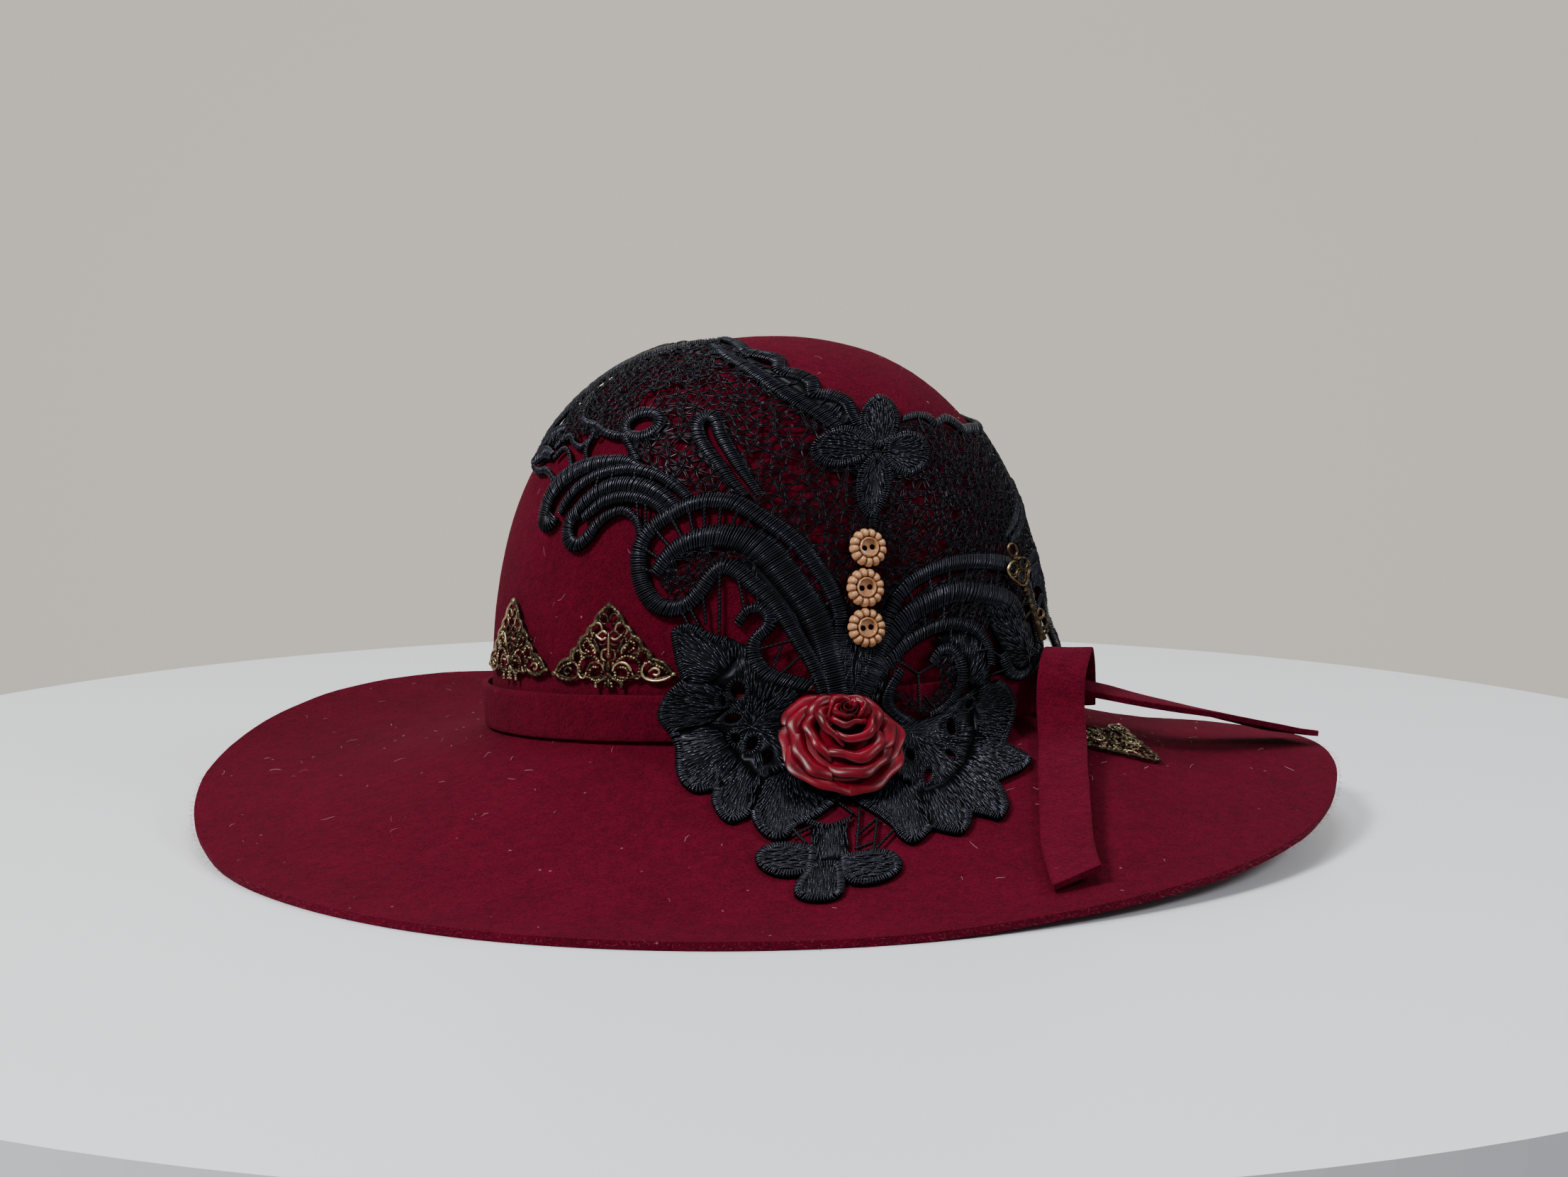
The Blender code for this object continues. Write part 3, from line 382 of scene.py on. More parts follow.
def felt_place(azimuth, share):
    """Outer face of the felt: share 0 at the crown's top, 1 at its foot, 2 at the brim's edge."""
    above, beyond = 1 - HAT["fillet"] / CROWN_RUN, 1 + HAT["fillet"] * 1.3 / BRIM_RUN
    if share <= above:
        return crown_place(azimuth, share)
    if share >= beyond:
        return brim_place(azimuth, share - 1)
    t = (share - above) / (beyond - above)
    return rounded(crown_place(azimuth, above), crown_place(azimuth, 1),
                   brim_place(azimuth, beyond - 1), t)


def felt_normal(azimuth, share):
    around = felt_place(azimuth + 0.5, share) - felt_place(azimuth - 0.5, share)
    down = felt_place(azimuth, share + 0.004) - felt_place(azimuth, share - 0.004)
    return down.cross(around).normalized()


def share_along(share, run):
    height = (1 - share) * (CROWN_RUN if share < 1 else BRIM_RUN) - run
    return 1 - height / (CROWN_RUN if height > 0 else BRIM_RUN)


def girth(share):
    points = [felt_place(azimuth, share) for azimuth in (0, 90, 180, 270)]
    return ((points[0] - points[2]).xy.length + (points[1] - points[3]).xy.length) / 4


BAND_REACH, BRIM_REACH = 0.0155, 0.0135  # how far the lace stands out above and below the foot
NEAR, FAR = 0.0009, 0.0041  # how far it lies off the felt, and off it over the band


def over_band(azimuth, share):
    """Where the lace lies: close on the felt, and standing out over the band."""
    top, end = 1 - BAND_REACH / CROWN_RUN - 0.005, 1 + BRIM_REACH / BRIM_RUN
    if share < top:
        t = min(max((share - top + 0.09) / 0.09, 0), 1)
        return (felt_place(azimuth, share)
                + felt_normal(azimuth, share) * (NEAR + (FAR - NEAR) * t * t * (3 - 2 * t)))
    if share > end:
        return felt_place(azimuth, share) + felt_normal(azimuth, share) * NEAR
    t = (share - top) / (end - top)
    side = felt_normal(azimuth, top)
    start = felt_place(azimuth, top) + side * FAR
    corner = felt_place(azimuth, 1 - 0.001 / CROWN_RUN) + side * (FAR + 0.0003)
    finish = felt_place(azimuth, end) + felt_normal(azimuth, end) * NEAR
    return rounded(start, corner, finish, t)


# The lace is drawn flat, in millimetres across from its middle and up from the crown's foot,
# and a grid of places on the hat carries every flat point to where it lies.
GRID = 2.0
LACE_AZIMUTH, LACE_LEAN = 284.0, 13.5  # degrees: its middle, and how far it leans to the right
grid_x, grid_y = np.arange(-154, 172, GRID), np.arange(-86, 172, GRID)
grid_place = np.zeros((len(grid_y), len(grid_x), 3))
for row, y in enumerate(grid_y):
    share = share_along(1, -y / 1000)
    lean, round_here = y * math.tan(math.radians(LACE_LEAN)), girth(share) * 1000
    for column, x in enumerate(grid_x):
        around = math.degrees((x + lean) / round_here)
        grid_place[row, column] = over_band(LACE_AZIMUTH + around, share)
grid_out = np.cross(np.gradient(grid_place, axis=1), np.gradient(grid_place, axis=0))
grid_out /= np.linalg.norm(grid_out, axis=2, keepdims=True)


def in_grid(plan, lift, x, y, pitch, fields):
    """Flat points, with how far they stand off in millimetres, carried by a grid of places."""
    across = np.clip((plan[..., 0] - x[0]) / pitch, 0, len(x) - 1.001)
    along = np.clip((plan[..., 1] - y[0]) / pitch, 0, len(y) - 1.001)
    i, j = across.astype(int), along.astype(int)
    f, g = (across - i)[..., None], (along - j)[..., None]
    place, out = (field[j, i] * (1 - f) * (1 - g) + field[j, i + 1] * f * (1 - g)
                  + field[j + 1, i] * (1 - f) * g + field[j + 1, i + 1] * f * g
                  for field in fields)
    return place + out * (lift[..., None] / 1000)


def lay(plan, lift):
    return in_grid(plan, lift, grid_x, grid_y, GRID, (grid_place, grid_out))


def smooth_run(points, pitch, closed=False):
    """Points at an even pitch along a smooth line through the given ones."""
    p = np.array(points, float)
    if closed:
        p = np.vstack([p[-1], p, p[0], p[1]])
    else:
        p = np.vstack([2 * p[0] - p[1], p, 2 * p[-1] - p[-2]])
    t = np.linspace(0, 1, 12, endpoint=False)[:, None]
    line = [spline(*four, t) for four in zip(p, p[1:], p[2:], p[3:])]
    line = np.vstack(line + [p[-2][None]])
    run = np.concatenate([[0], np.cumsum(np.linalg.norm(np.diff(line, axis=0), axis=1))])
    at = np.linspace(0, run[-1], max(int(run[-1] / pitch), 3) + 1)
    return np.column_stack([np.interp(at, run, line[:, k]) for k in (0, 1)])


def sideways(line):
    ahead = np.gradient(line, axis=-2)
    ahead /= np.maximum(np.linalg.norm(ahead, axis=-1, keepdims=True), 1e-9)
    return ahead, np.stack([-ahead[..., 1], ahead[..., 0]], axis=-1)


def width_along(width, count):
    if isinstance(width, tuple):
        return np.interp(np.linspace(0, 1, count), np.linspace(0, 1, len(width)), width)
    return np.full(count, float(width))


def on_right(points):
    """A run of the left half turned over to the right half, as the two halves are sewn on."""
    flat = np.array(points, float) * (-1, 1) - (5, 35)
    turn = math.radians(-28)
    spin = np.array(((math.cos(turn), math.sin(turn)), (-math.sin(turn), math.cos(turn))))
    return flat @ spin + (5, 38)


def oval(x, y, half_width, half_height, turn=0.0, steps=16):
    angle = np.linspace(0, 2 * math.pi, steps, endpoint=False)
    spin = math.radians(turn)
    a, b = half_width * np.cos(angle), half_height * np.sin(angle)
    return np.column_stack([x + a * math.cos(spin) - b * math.sin(spin),
                            y + a * math.sin(spin) + b * math.cos(spin)])


# Raised satin cords: width in millimetres, or its values along the run, and the run's points.
WING = (
    ((4.5, 5.2, 5.6, 5.6, 5.0, 4.0), (
        (-6.7, 26), (-7.5, 32.5), (-9.2, 40), (-13.3, 47.5), (-18.3, 54), (-24, 60.8),
        (-30.8, 66.7), (-38.3, 71.7), (-45, 75.8), (-51.7, 77), (-59, 75.8), (-65.8, 72),
        (-70.8, 67.5), (-73, 61.7), (-71.7, 54), (-68.3, 47.5), (-62.5, 43), (-55.8, 43),
        (-51.7, 47.5), (-49.2, 52.5), (-45.8, 55.4), (-40.8, 53.3), (-35.8, 49.2),
        (-30.8, 45), (-26.7, 40.8), (-21, 33), (-14.5, 24), (-9.6, 15), (-7, 9))),
    ((5.0, 7.5, 8.8, 8.4, 7.6, 7.0), (
        (-66.2, 54), (-64, 58.3), (-60, 62.3), (-54, 64.8), (-47.5, 65.3), (-40.8, 64),
        (-35, 60.7), (-30, 55.7), (-25, 49.8), (-20, 44), (-15.8, 38), (-12.5, 32), (-9.5, 25),
        (-6.4, 16), (-4, 9))),
    ((5.5, 6.4, 6.2, 5.0, 3.6), (
        (-109.5, 73.5), (-110.5, 71.4), (-113, 70.6), (-115.2, 72.6), (-115, 77.5), (-112, 83),
        (-107, 87), (-101, 89.8), (-94, 91.4), (-87.5, 92), (-82, 91.8), (-77.5, 89.5))),
    ((3.2, 3.8, 4.0, 3.6), (
        (-107, 74.5), (-104.3, 79), (-100.5, 83), (-95.5, 86), (-90, 88), (-83.5, 89),
        (-77.5, 88.6), (-71, 86.6), (-65, 83), (-60, 78.5))),
    ((5.4, 5.2, 4.2, 3.2, 2.8), (
        (-98, 74.5), (-101.2, 72), (-101.6, 67.6), (-99.4, 64.4), (-95.8, 63.6), (-92.8, 66),
        (-89.8, 70), (-86, 73), (-81, 74.6), (-77.2, 73), (-74.8, 70), (-73.4, 66.6))),
    ((4.0, 5.4, 5.6, 4.4), (
        (-98.6, 75.5), (-94.5, 79.4), (-89, 82.4), (-83.5, 83.6), (-77.5, 83.2),
        (-71.7, 81.4), (-66.7, 78.2), (-62.5, 74.5))),
    ((3.4, 4.4, 4.4, 3.6), (
        (-95.4, 72.4), (-92, 75.4), (-88, 78), (-82, 79.2), (-76, 78.8), (-70.5, 76.8),
        (-66, 73.4))),
    ((2.2, 4.2, 4.6, 4.6, 4.2, 2.2), (
        (-42.8, 78.5), (-47.5, 83.6), (-51.7, 89), (-55.8, 94.2), (-59, 99.5), (-60.2, 104.4),
        (-58.6, 107.6), (-56, 107.8), (-53.9, 105), (-52.3, 100), (-49, 94), (-45.6, 88.4),
        (-42.2, 83.4), (-38.6, 78.4))),
    (3.0, ((-84.6, 101.4), (-82.4, 98), (-80.4, 95), (-78.6, 92))),
    (3.0, ((-106, 109), (-102.5, 107.4), (-98, 106.4), (-93, 103.4), (-88.5, 101.8),
           (-84.2, 101.4))),
    (4.0, ((-104.8, 121), (-107.3, 117), (-107.8, 113), (-106, 109))),
    (2.2, ((-118, 98.5), (-114, 101.7), (-110, 102.4), (-106.7, 99.4), (-102.5, 98),
           (-98.8, 100.6), (-97.8, 104.6))),
    (1.7, ((-116.6, 94.4), (-112.4, 97.6), (-108.4, 96), (-105.4, 90.6))),
    (1.7, ((-98.3, 92.6), (-99.8, 96.4), (-98.9, 100.4))),
    ((2.0, 2.6, 2.0), ((-134, 91.4), (-127.6, 89.6), (-120, 89.6), (-113.6, 86.4))),
    ((3.0, 6.6, 5.0, 3.0), ((-136.6, 93.4), (-131, 95.4), (-125, 96.6), (-119, 95.2))),
    ((2.0, 5.0, 4.0, 3.0), ((-134.4, 97.4), (-129.4, 102.6), (-122.6, 105), (-115.4, 106.6))),
    ((3.0, 5.0, 5.0, 5.0, 4.0), (
        (-135, 95), (-133, 104), (-126.4, 112), (-117, 121), (-107, 130.4), (-96, 138),
        (-82, 145.4), (-68, 151), (-56, 155))),
)
CENTRE = (
    ((3.6, 5.0, 5.0, 5.0, 4.0), (
        (-55, 156), (-50.4, 149), (-47.2, 141.4), (-42.4, 138.4), (-37.4, 134.6),
        (-36.2, 128), (-31, 125.6), (-26.4, 121.6), (-25.2, 115.8), (-20, 115),
        (-14.8, 111.6), (-12.6, 106.4), (-10.6, 102.6))),
    ((3.0, 5.2, 5.4, 5.0), (
        (-58.4, 148), (-53, 138.4), (-45.6, 129.6), (-38.4, 120.8), (-30.6, 113),
        (-23, 107), (-17.4, 101.6))),
    ((2.8, 4.4, 4.4, 3.6), (
        (6, 104), (11.4, 105.2), (17.4, 104.4), (20.4, 101.8), (26, 103.8), (32, 102),
        (36.6, 99.2), (43, 99.6), (50, 99.6), (58, 100.4), (66, 101.4), (74, 102.4),
        (82, 105.4), (90, 109.4), (98, 114.6), (106, 120))),
    ((3.2, 4.4, 4.6, 4.2), (
        (-38.6, 37.4), (-36.8, 41.2), (-33, 42.2), (-29.8, 39.8), (-29.6, 36), (-32, 33.2),
        (-32.8, 29.6), (-31.2, 25.4), (-27.4, 21.6), (-21, 19.2), (-14, 17))),
    ((4.6, 5.4, 5.6, 5.0, 4.6), (
        (1.0, 10), (3.6, 18), (5.6, 26), (6, 34), (7.8, 41.4), (12, 47), (18.6, 50.6),
        (26.4, 52.6), (35, 53), (45, 52.4), (55, 51), (64, 47.6), (71.6, 42), (76, 34),
        (76.4, 26), (73, 19.4), (66.8, 15), (60, 13.8), (54.8, 16.6), (51.6, 22))),
    ((5.4, 7.2, 8.0, 7.0, 5.0), (
        (0.4, 8), (2.4, 16), (4.6, 24), (8.4, 31.4), (13.6, 37.2), (20, 40.8), (27, 43),
        (34, 43.4), (43, 42), (52, 40.6), (60, 37.6), (66, 32))),
    ((3.4, 4.6, 5.0, 4.4, 3.4), (
        (2, 7), (4, 15), (7, 22), (11.6, 26.6), (17, 30.4), (23.4, 32.8), (30, 33.4),
        (37, 32.2), (42.6, 29), (45.6, 24.4), (46.2, 19.2))),
    ((3.0, 4.2, 4.2, 3.4), (
        (22.6, 21.6), (25.4, 25.2), (29.6, 25.4), (32.8, 21.8), (34.4, 16.4), (33.8, 10),
        (30.2, 4), (25.4, 0.4))),
    ((3.2, 4.2, 3.6), ((12.4, 20.2), (10.2, 14.2), (10.8, 7.4), (14.6, 1.6), (20, -2.4))),
    ((3.0, 3.8, 3.0), ((-2.6, 66), (-3.4, 72), (-3.8, 78))),
    ((4.0, 4.4, 3.2), ((-5.6, 34), (-5.2, 26), (-3.6, 18), (-2.4, 9))),
    ((3.4, 4.0, 3.0), ((0.2, 32), (0.4, 24), (0.2, 16), (-0.4, 8))),
)
# Flat stitched petals: the point that their stitches fan out from, the rim's width, the curved
# outer edge and the inner corners, which a petal shares with its neighbours.
PETALS = (
    ((-36, 20), 3.0, ((-41, 33.4), (-45.8, 34.6), (-50, 37), (-54.4, 37.8), (-58.2, 36),
                      (-57, 31.4), (-54.8, 26), (-51.4, 20.4)), ((-42, 19), (-37, 26), (-38, 32))),
    ((-30, 9), 3.2, ((-51.4, 20.4), (-54.8, 16.4), (-56, 10), (-54.8, 4.4), (-50.4, -2)),
     ((-40, 1), (-36, 8), (-38, 17), (-42, 19))),
    ((-27, 0), 3.2, ((-50.4, -2), (-49.4, -6), (-49.8, -12), (-48.2, -18.6), (-44, -22.8),
                     (-38.4, -21.8)), ((-31, -9), (-36, 0), (-40, 1))),
    ((-24, -4), 3.2, ((-38.4, -21.8), (-38.8, -27), (-37, -32.8), (-33.8, -36.4),
                      (-29.8, -35), (-27.4, -32.4)), ((-24, -17), (-31, -9))),
    ((-16, -10), 3.2, ((-27.4, -32.4), (-26.6, -37), (-24, -42), (-20.8, -44.6), (-17, -44),
                       (-14.4, -39.4), (-9, -36), (-4, -31.4), (-0.6, -27)),
     ((-6, -20), (-16, -14), (-24, -17))),
    ((14, -10), 3.2, ((0.6, -27), (4.4, -31.6), (10, -37.6), (14, -43), (16, -48),
                      (20, -52), (24.4, -49.8), (26.8, -46.4)), ((24, -30), (14, -20), (6, -21))),
    ((20, -8), 3.2, ((26.8, -46.4), (31, -49), (36.2, -51), (39.4, -47.6), (40.6, -42.4)),
     ((33, -27), (24, -30))),
    ((24, -6), 3.2, ((40.6, -42.4), (45.8, -45), (50, -47.4), (53.8, -42.6), (53, -36),
                     (51, -30.2)), ((40, -19), (33, -27))),
    ((26, -4), 3.2, ((51, -30.2), (57, -28.4), (62.4, -26.8), (66.4, -22.8), (63.4, -18.6),
                     (57, -13)), ((44, -8), (40, -19))),
    ((26, 2), 3.0, ((57, -13), (59.6, -6), (59.2, 2), (55.6, 9), (50, 13.4)),
     ((42, 12), (40, 2), (44, -8))),
    ((-3, 90), 2.8, ((-3, 93), (-8, 96), (-10.2, 103), (-8.6, 110), (-3, 114.4), (2.6, 110),
                     (4.2, 103), (2, 96)), ()),
    ((-2, 92), 2.8, ((-5.6, 96), (-9.6, 99.6), (-15, 101.6), (-21, 99.6), (-25, 94.6),
                     (-23, 89.4), (-17, 86.6), (-10.4, 87.6), (-6, 90)), ()),
    ((-2, 92), 2.8, ((-1, 95), (3, 98), (8, 98.8), (14, 96.4), (16.4, 91), (14, 85.4),
                     (8, 82.6), (2, 84.6), (-1, 88)), ()),
    ((-3.6, 92), 2.6, ((-3.8, 91), (-8, 88), (-9.8, 81), (-8.2, 73), (-4, 68.8), (0.2, 73),
                       (2, 81), (0.4, 88)), ()),
    ((-4.8, 200), 2.4, ((-10.2, -37), (-5, -39.4), (0.6, -37.6)), ((0.8, -57.4), (-10.2, -57.4))),
    ((200, -54), 3.0, ((-8.6, -50), (-13, -47.6), (-17.6, -46.2), (-22.4, -47.2), (-25.6, -51),
                       (-25.6, -56), (-21.8, -60.8), (-16, -62.6), (-10, -60.2)), ()),
    ((-200, -61), 3.0, ((-1.6, -55.4), (4, -53.4), (9, -53), (13, -54.6), (16, -58.6),
                        (16.2, -63.4), (13.2, -67), (7, -69.4), (0, -67)), ()),
    ((-7, 100), 2.8, ((-9.6, -57.4), (-12.6, -62), (-14.8, -67.6), (-14.8, -72.6),
                      (-10.4, -76), (-4.4, -76), (-1.2, -72), (-0.8, -65), (-2, -57.4)), ()),
)
# Closely stitched grounds with no rim, between the petals and under the arches.
GROUNDS = (
    ((-1, 70), ((-9, 34), (-11, 24), (-8.6, 12), (-6, 3), (6, 3), (8.4, 12), (9, 24), (7, 34))),
    ((30, 4), ((24, 30), (34, 31.6), (42, 27), (44.6, 19), (47, 12), (43, 10), (38, 12),
               (36, 18), (33, 24), (27.6, 27))),
    ((66, 20), ((47, 40), (57, 37), (65, 33), (72, 30), (72.6, 22), (67, 17), (60.4, 16),
                (55, 19), (51, 26), (46, 33))),
    ((-27, 0), ((-38, 32), (-37, 26), (-42, 19), (-38, 17), (-36, 8), (-40, 1), (-36, 0),
                (-31, -9), (-24, -17), (-16, -14), (-14, -2), (-15, 10), (-18, 17), (-26, 20),
                (-30, 24), (-32, 29))),
    ((20, -4), ((6, -21), (14, -20), (24, -30), (33, -27), (40, -19), (44, -8), (40, 2),
                (42, 12), (36, 9), (30, 3), (24, -1), (14, -1), (9, -8))),
    ((-36, 36), ((-45, 58), (-37, 56.6), (-31.6, 51), (-26, 44.6), (-21, 38.4), (-17, 31),
                 (-21, 33), (-26.7, 40.8), (-30.8, 45), (-35.8, 49.2), (-40.8, 53.3))),
    ((-120, 60), ((-127, 99), (-119, 99), (-117, 104), (-120, 108), (-126, 106), (-130, 103))),
    ((-3, 130), ((-34, 118), (-27, 112.6), (-20, 106), (-14, 101), (-12, 105), (-18, 112),
                 (-25, 114), (-29, 121), (-35, 125), (-44, 134), (-48, 140), (-52, 143),
                 (-45, 130))),
)
# Small open windows inside the stitched grounds.
HOLES = (
    oval(-34.4, 16.4, 2.0, 2.8, 25, 8), oval(-33.2, 4.2, 2.3, 2.3, 0, 8),
    oval(-38, 12.6, 1.2, 2.6, 20, 8), oval(-31.6, -3.2, 1.5, 1.5, 0, 8),
    oval(-27, -5, 1.5, 2.4, -30, 8), oval(-22.6, -9.4, 1.3, 2.6, -30, 8),
    oval(26.4, -22.4, 1.5, 3.4, -12, 8), oval(33.6, -4.4, 1.6, 3.2, 30, 8),
    oval(38.6, 3.4, 1.6, 2.4, 0, 8), oval(20.4, -12.6, 1.4, 2.6, 20, 8),
    oval(34.6, -14.4, 1.4, 2.6, 40, 8))


def inside(points, outline):
    outline = np.array(outline, float)
    hit = np.zeros(len(points), bool)
    for (ax, ay), (bx, by) in zip(outline, np.roll(outline, -1, axis=0)):
        crosses = (ay > points[:, 1]) != (by > points[:, 1])
        at = ax + (points[:, 1] - ay) * (bx - ax) / (by - ay if by != ay else 1e-9)
        hit ^= crosses & (points[:, 0] < at)
    return hit


def add_rings(store, place, tones, flip=False):
    """Skins over rings of points (tube, ring, corner, 3), closed at both ends."""
    count, steps, corners = place.shape[:3]
    index = np.arange(count * steps * corners).reshape(count, steps, corners) + store["count"]
    turn = np.roll(index, -1, axis=2)
    sides = [index[:, :-1], turn[:, :-1], turn[:, 1:], index[:, 1:]]
    ends = [index[:, 0, ::-1], index[:, -1]]
    if flip:
        sides, ends = [sides[k] for k in (0, 3, 2, 1)], [end[:, ::-1] for end in ends]
    store["places"].append(place.reshape(-1, 3))
    store["faces"].extend(np.stack(sides, axis=-1).reshape(-1, 4).tolist())
    for end in ends:
        store["faces"].extend(end.tolist())
    store["tones"].append(np.repeat(tones, steps * corners))
    store["count"] += count * steps * corners


def add_tubes(store, plan, lift, ring, laid=None):
    """Closed tubes with one cross section: plan (n, k, 2), lift (n, k), ring (k, m, 2)."""
    across = sideways(plan)[1]
    flat = plan[:, :, None] + across[:, :, None] * ring[..., 0, None]
    place = (laid or lay)(flat, lift[:, :, None] + ring[..., 1])
    # Each tube gets a random tone, mostly low: the thread materials turn the few high ones into
    # painted glints, and the brass takes it as random wear.
    add_rings(store, place, rng.random(len(place)) ** 2.5)


def add_tube(store, line, height, ring, laid=None):
    """One tube along a flat line at an even height."""
    add_tubes(store, line[None], np.full((1, len(line)), float(height)), ring[None], laid)


def new_store():
    return {"places": [], "faces": [], "tones": [], "count": 0}


def new_piece(name, places, faces, material, tones):
    """A smooth mesh whose points carry a tone."""
    mesh = bpy.data.meshes.new(name)
    mesh.from_pydata(places.tolist(), [], faces)
    mesh.update()
    tone = mesh.attributes.new("tone", "FLOAT", "POINT")
    tone.data.foreach_set("value", np.asarray(tones, np.float32))
    mesh.materials.append(material)
    mesh.shade_smooth()
    piece = bpy.data.objects.new(name, mesh)
    shelf.link(piece)
    return piece


def store_piece(name, store, material):
    piece = new_piece(name, np.vstack(store["places"]), store["faces"], material,
                      np.concatenate(store["tones"]))
    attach(piece, "root")
    return piece


def edge_of(arc, corners, pitch):
    """A petal's whole outline: its smooth outer edge and the straight sides through corners."""
    if not corners:
        return smooth_run(arc, pitch, True)[:-1]
    points = [smooth_run(arc, pitch) if len(arc) > 2 else np.array(arc, float)]
    path = [points[0][-1]] + [np.array(c, float) for c in corners] + [points[0][0]]
    for first, second in zip(path, path[1:]):
        count = max(int(np.linalg.norm(second - first) / pitch), 1)
        points.append(first + (second - first) * (np.arange(1, count + 1) / count)[:, None])
    return np.vstack(points)[:-1]


def ground_edge(outline, pitch):
    return edge_of(outline[:1] + outline[-1:], outline[1:-1][::-1], pitch)


def signed_area(outline):
    """More than nothing where the outline runs anticlockwise."""
    beyond = np.roll(outline, -1, axis=0)
    return np.sum(outline[:, 0] * beyond[:, 1] - outline[:, 1] * beyond[:, 0]) / 2


def add_flat(store, rim, holes, low, high, dome):
    """A closed thin plate over an outline, a little higher away from its edge."""
    if signed_area(rim) < 0:
        rim = rim[::-1]
    spots = np.stack(np.meshgrid(np.arange(-152, 168, 3.4), np.arange(-84, 168, 3.4)),
                     axis=-1).reshape(-1, 2)
    spots = spots[inside(spots, rim)]
    away = np.min(np.linalg.norm(spots[:, None] - rim[None], axis=2), axis=1)
    spots = spots[away > 1.4]
    cuts = [hole for hole in holes if inside(hole, rim).all()]
    points = [Vector(p) for p in np.vstack([rim] + cuts + [spots])]
    faces, start = [], 0
    for loop in [rim] + cuts:
        faces.append(list(range(start, start + len(loop))))
        start += len(loop)
    found = delaunay_2d_cdt(points, [], faces, 0, 0.02)
    kept = [f for f, source in zip(found[2], found[5]) if list(source) == [0]]
    flat = np.array([tuple(p) for p in found[0]])
    edge = np.min(np.linalg.norm(flat[:, None] - rim[None], axis=2), axis=1)
    top = high + dome * np.clip(edge / 3.0, 0, 1)
    place = np.vstack([lay(flat, top), lay(flat, np.full(len(flat), low))])
    base, size = store["count"], len(flat)
    sides = {}
    for f in kept:
        ring = [base + k for k in f]
        area = sum(flat[f[k]][0] * flat[f[k - 2]][1] - flat[f[k - 2]][0] * flat[f[k]][1]
                   for k in range(3))
        if area < 0:
            ring.reverse()
        store["faces"].append(ring)
        store["faces"].append([k + size for k in ring[::-1]])
        for k in range(3):
            sides[(ring[k], ring[(k + 1) % 3])] = True
    for a, b in sides:
        if (b, a) not in sides:
            store["faces"].append([b, a, a + size, b + size])
    store["places"].append(place)
    store["tones"].append(np.full(2 * size, 0.2))
    store["count"] += 2 * size


def add_tone(nodes):
    """The tone that each point of a piece carries."""
    attribute = nodes.new("ShaderNodeAttribute")
    attribute.attribute_name = "tone"
    return attribute.outputs["Fac"]


# Thread colour: each tube's tone and a noise patch mix a near black towards a lighter bluish grey,
# so that a few threads carry a painted glint; those threads are also smoother.
rayon, rayon_in, rayon_out = new_group(
    "painted_thread_glint",
    (("Dark", "NodeSocketColor", (0.004, 0.0045, 0.007, 1)),
     ("Light", "NodeSocketColor", (0.02, 0.023, 0.034, 1))),
    (("Color", "NodeSocketColor"), ("Rough", "NodeSocketFloat")))
nodes, links = rayon.nodes, rayon.links
where = nodes.new("ShaderNodeTexCoord")
patch = add_range(nodes, links, add_noise(nodes, links, where.outputs["Object"], 110.0, 2.0, 0.5),
                  0.35, 0.65, -0.3, 0.3)
painted_glint_amount = add_math(nodes, links, "ADD", add_tone(nodes), patch)
links.new(add_mix(nodes, links, painted_glint_amount, rayon_in.outputs["Dark"], rayon_in.outputs["Light"]),
          rayon_out.inputs["Color"])
links.new(add_range(nodes, links, painted_glint_amount, 0.0, 0.8, 0.46, 0.20), rayon_out.inputs["Rough"])


def thread_material(name, dark, light, specular):
    material, nodes, links, shader = new_material(name, {
        "Specular IOR Level": specular, "IOR": 1.38, "Specular Tint": (0.80, 0.82, 1.0, 1)})
    sheen = add_group(nodes, rayon, {"Dark": (*dark, 1), "Light": (*light, 1)})
    links.new(sheen.outputs["Color"], shader.inputs["Base Color"])
    links.new(sheen.outputs["Rough"], shader.inputs["Roughness"])
    return material


# The light colour of each thread material is its painted glint.
rayon_thread = thread_material("black_rayon_thread", (0.0003, 0.0003, 0.0005),
                               (0.0135, 0.0150, 0.0230), 0.60)
net_thread = thread_material("black_net_thread", (0.0005, 0.0005, 0.0008),
                             (0.0040, 0.0045, 0.0065), 0.30)
rayon_ground = thread_material("black_rayon_ground", (0.0008, 0.0008, 0.0011),
                               (0.002, 0.002, 0.003), 0.12)
PADDED = np.array(((0.92, -0.45), (0.92, 0.05), (0.62, 0.66), (0.0, 0.88), (-0.62, 0.66),
                   (-0.92, 0.05), (-0.92, -0.45)))
cords = [(width, np.array(run, float), False) for width, run in WING + CENTRE]
cords += [(width, on_right(run), False) for width, run in WING[2:]]
cords += [(4.4, oval(-78.8, 105.8, 6.4, 4.9, 15, 14), True),
          (4.4, on_right(oval(-78.8, 105.8, 6.4, 4.9, 15, 14)), True)]


def rise_of(wide):
    """A wide satin cord is padded higher than a narrow one."""
    return 0.45 + 0.135 * wide


ground = new_store()
for width, run, closed in cords:
    line = smooth_run(run, 1.6, closed)
    wide = width_along(width, len(line))
    ring = PADDED[None] * np.stack([wide / 2, rise_of(wide)], axis=-1)[:, None]
    ring[:, :, 1] = np.where(PADDED[None, :, 1] < 0, PADDED[None, :, 1], ring[:, :, 1])
    add_tube(ground, line, 0.05, ring)
for pivot, rim_width, arc, corners in PETALS:
    add_flat(ground, edge_of(arc, corners, 2.2), HOLES, -0.4, 0.45, 0.5)
for pivot, outline in GROUNDS:
    add_flat(ground, ground_edge(outline, 2.2), HOLES, -0.4, 0.45, 0.25)
lace_ground = store_piece("lace_ground", ground, rayon_ground)
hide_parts("lace_applique")
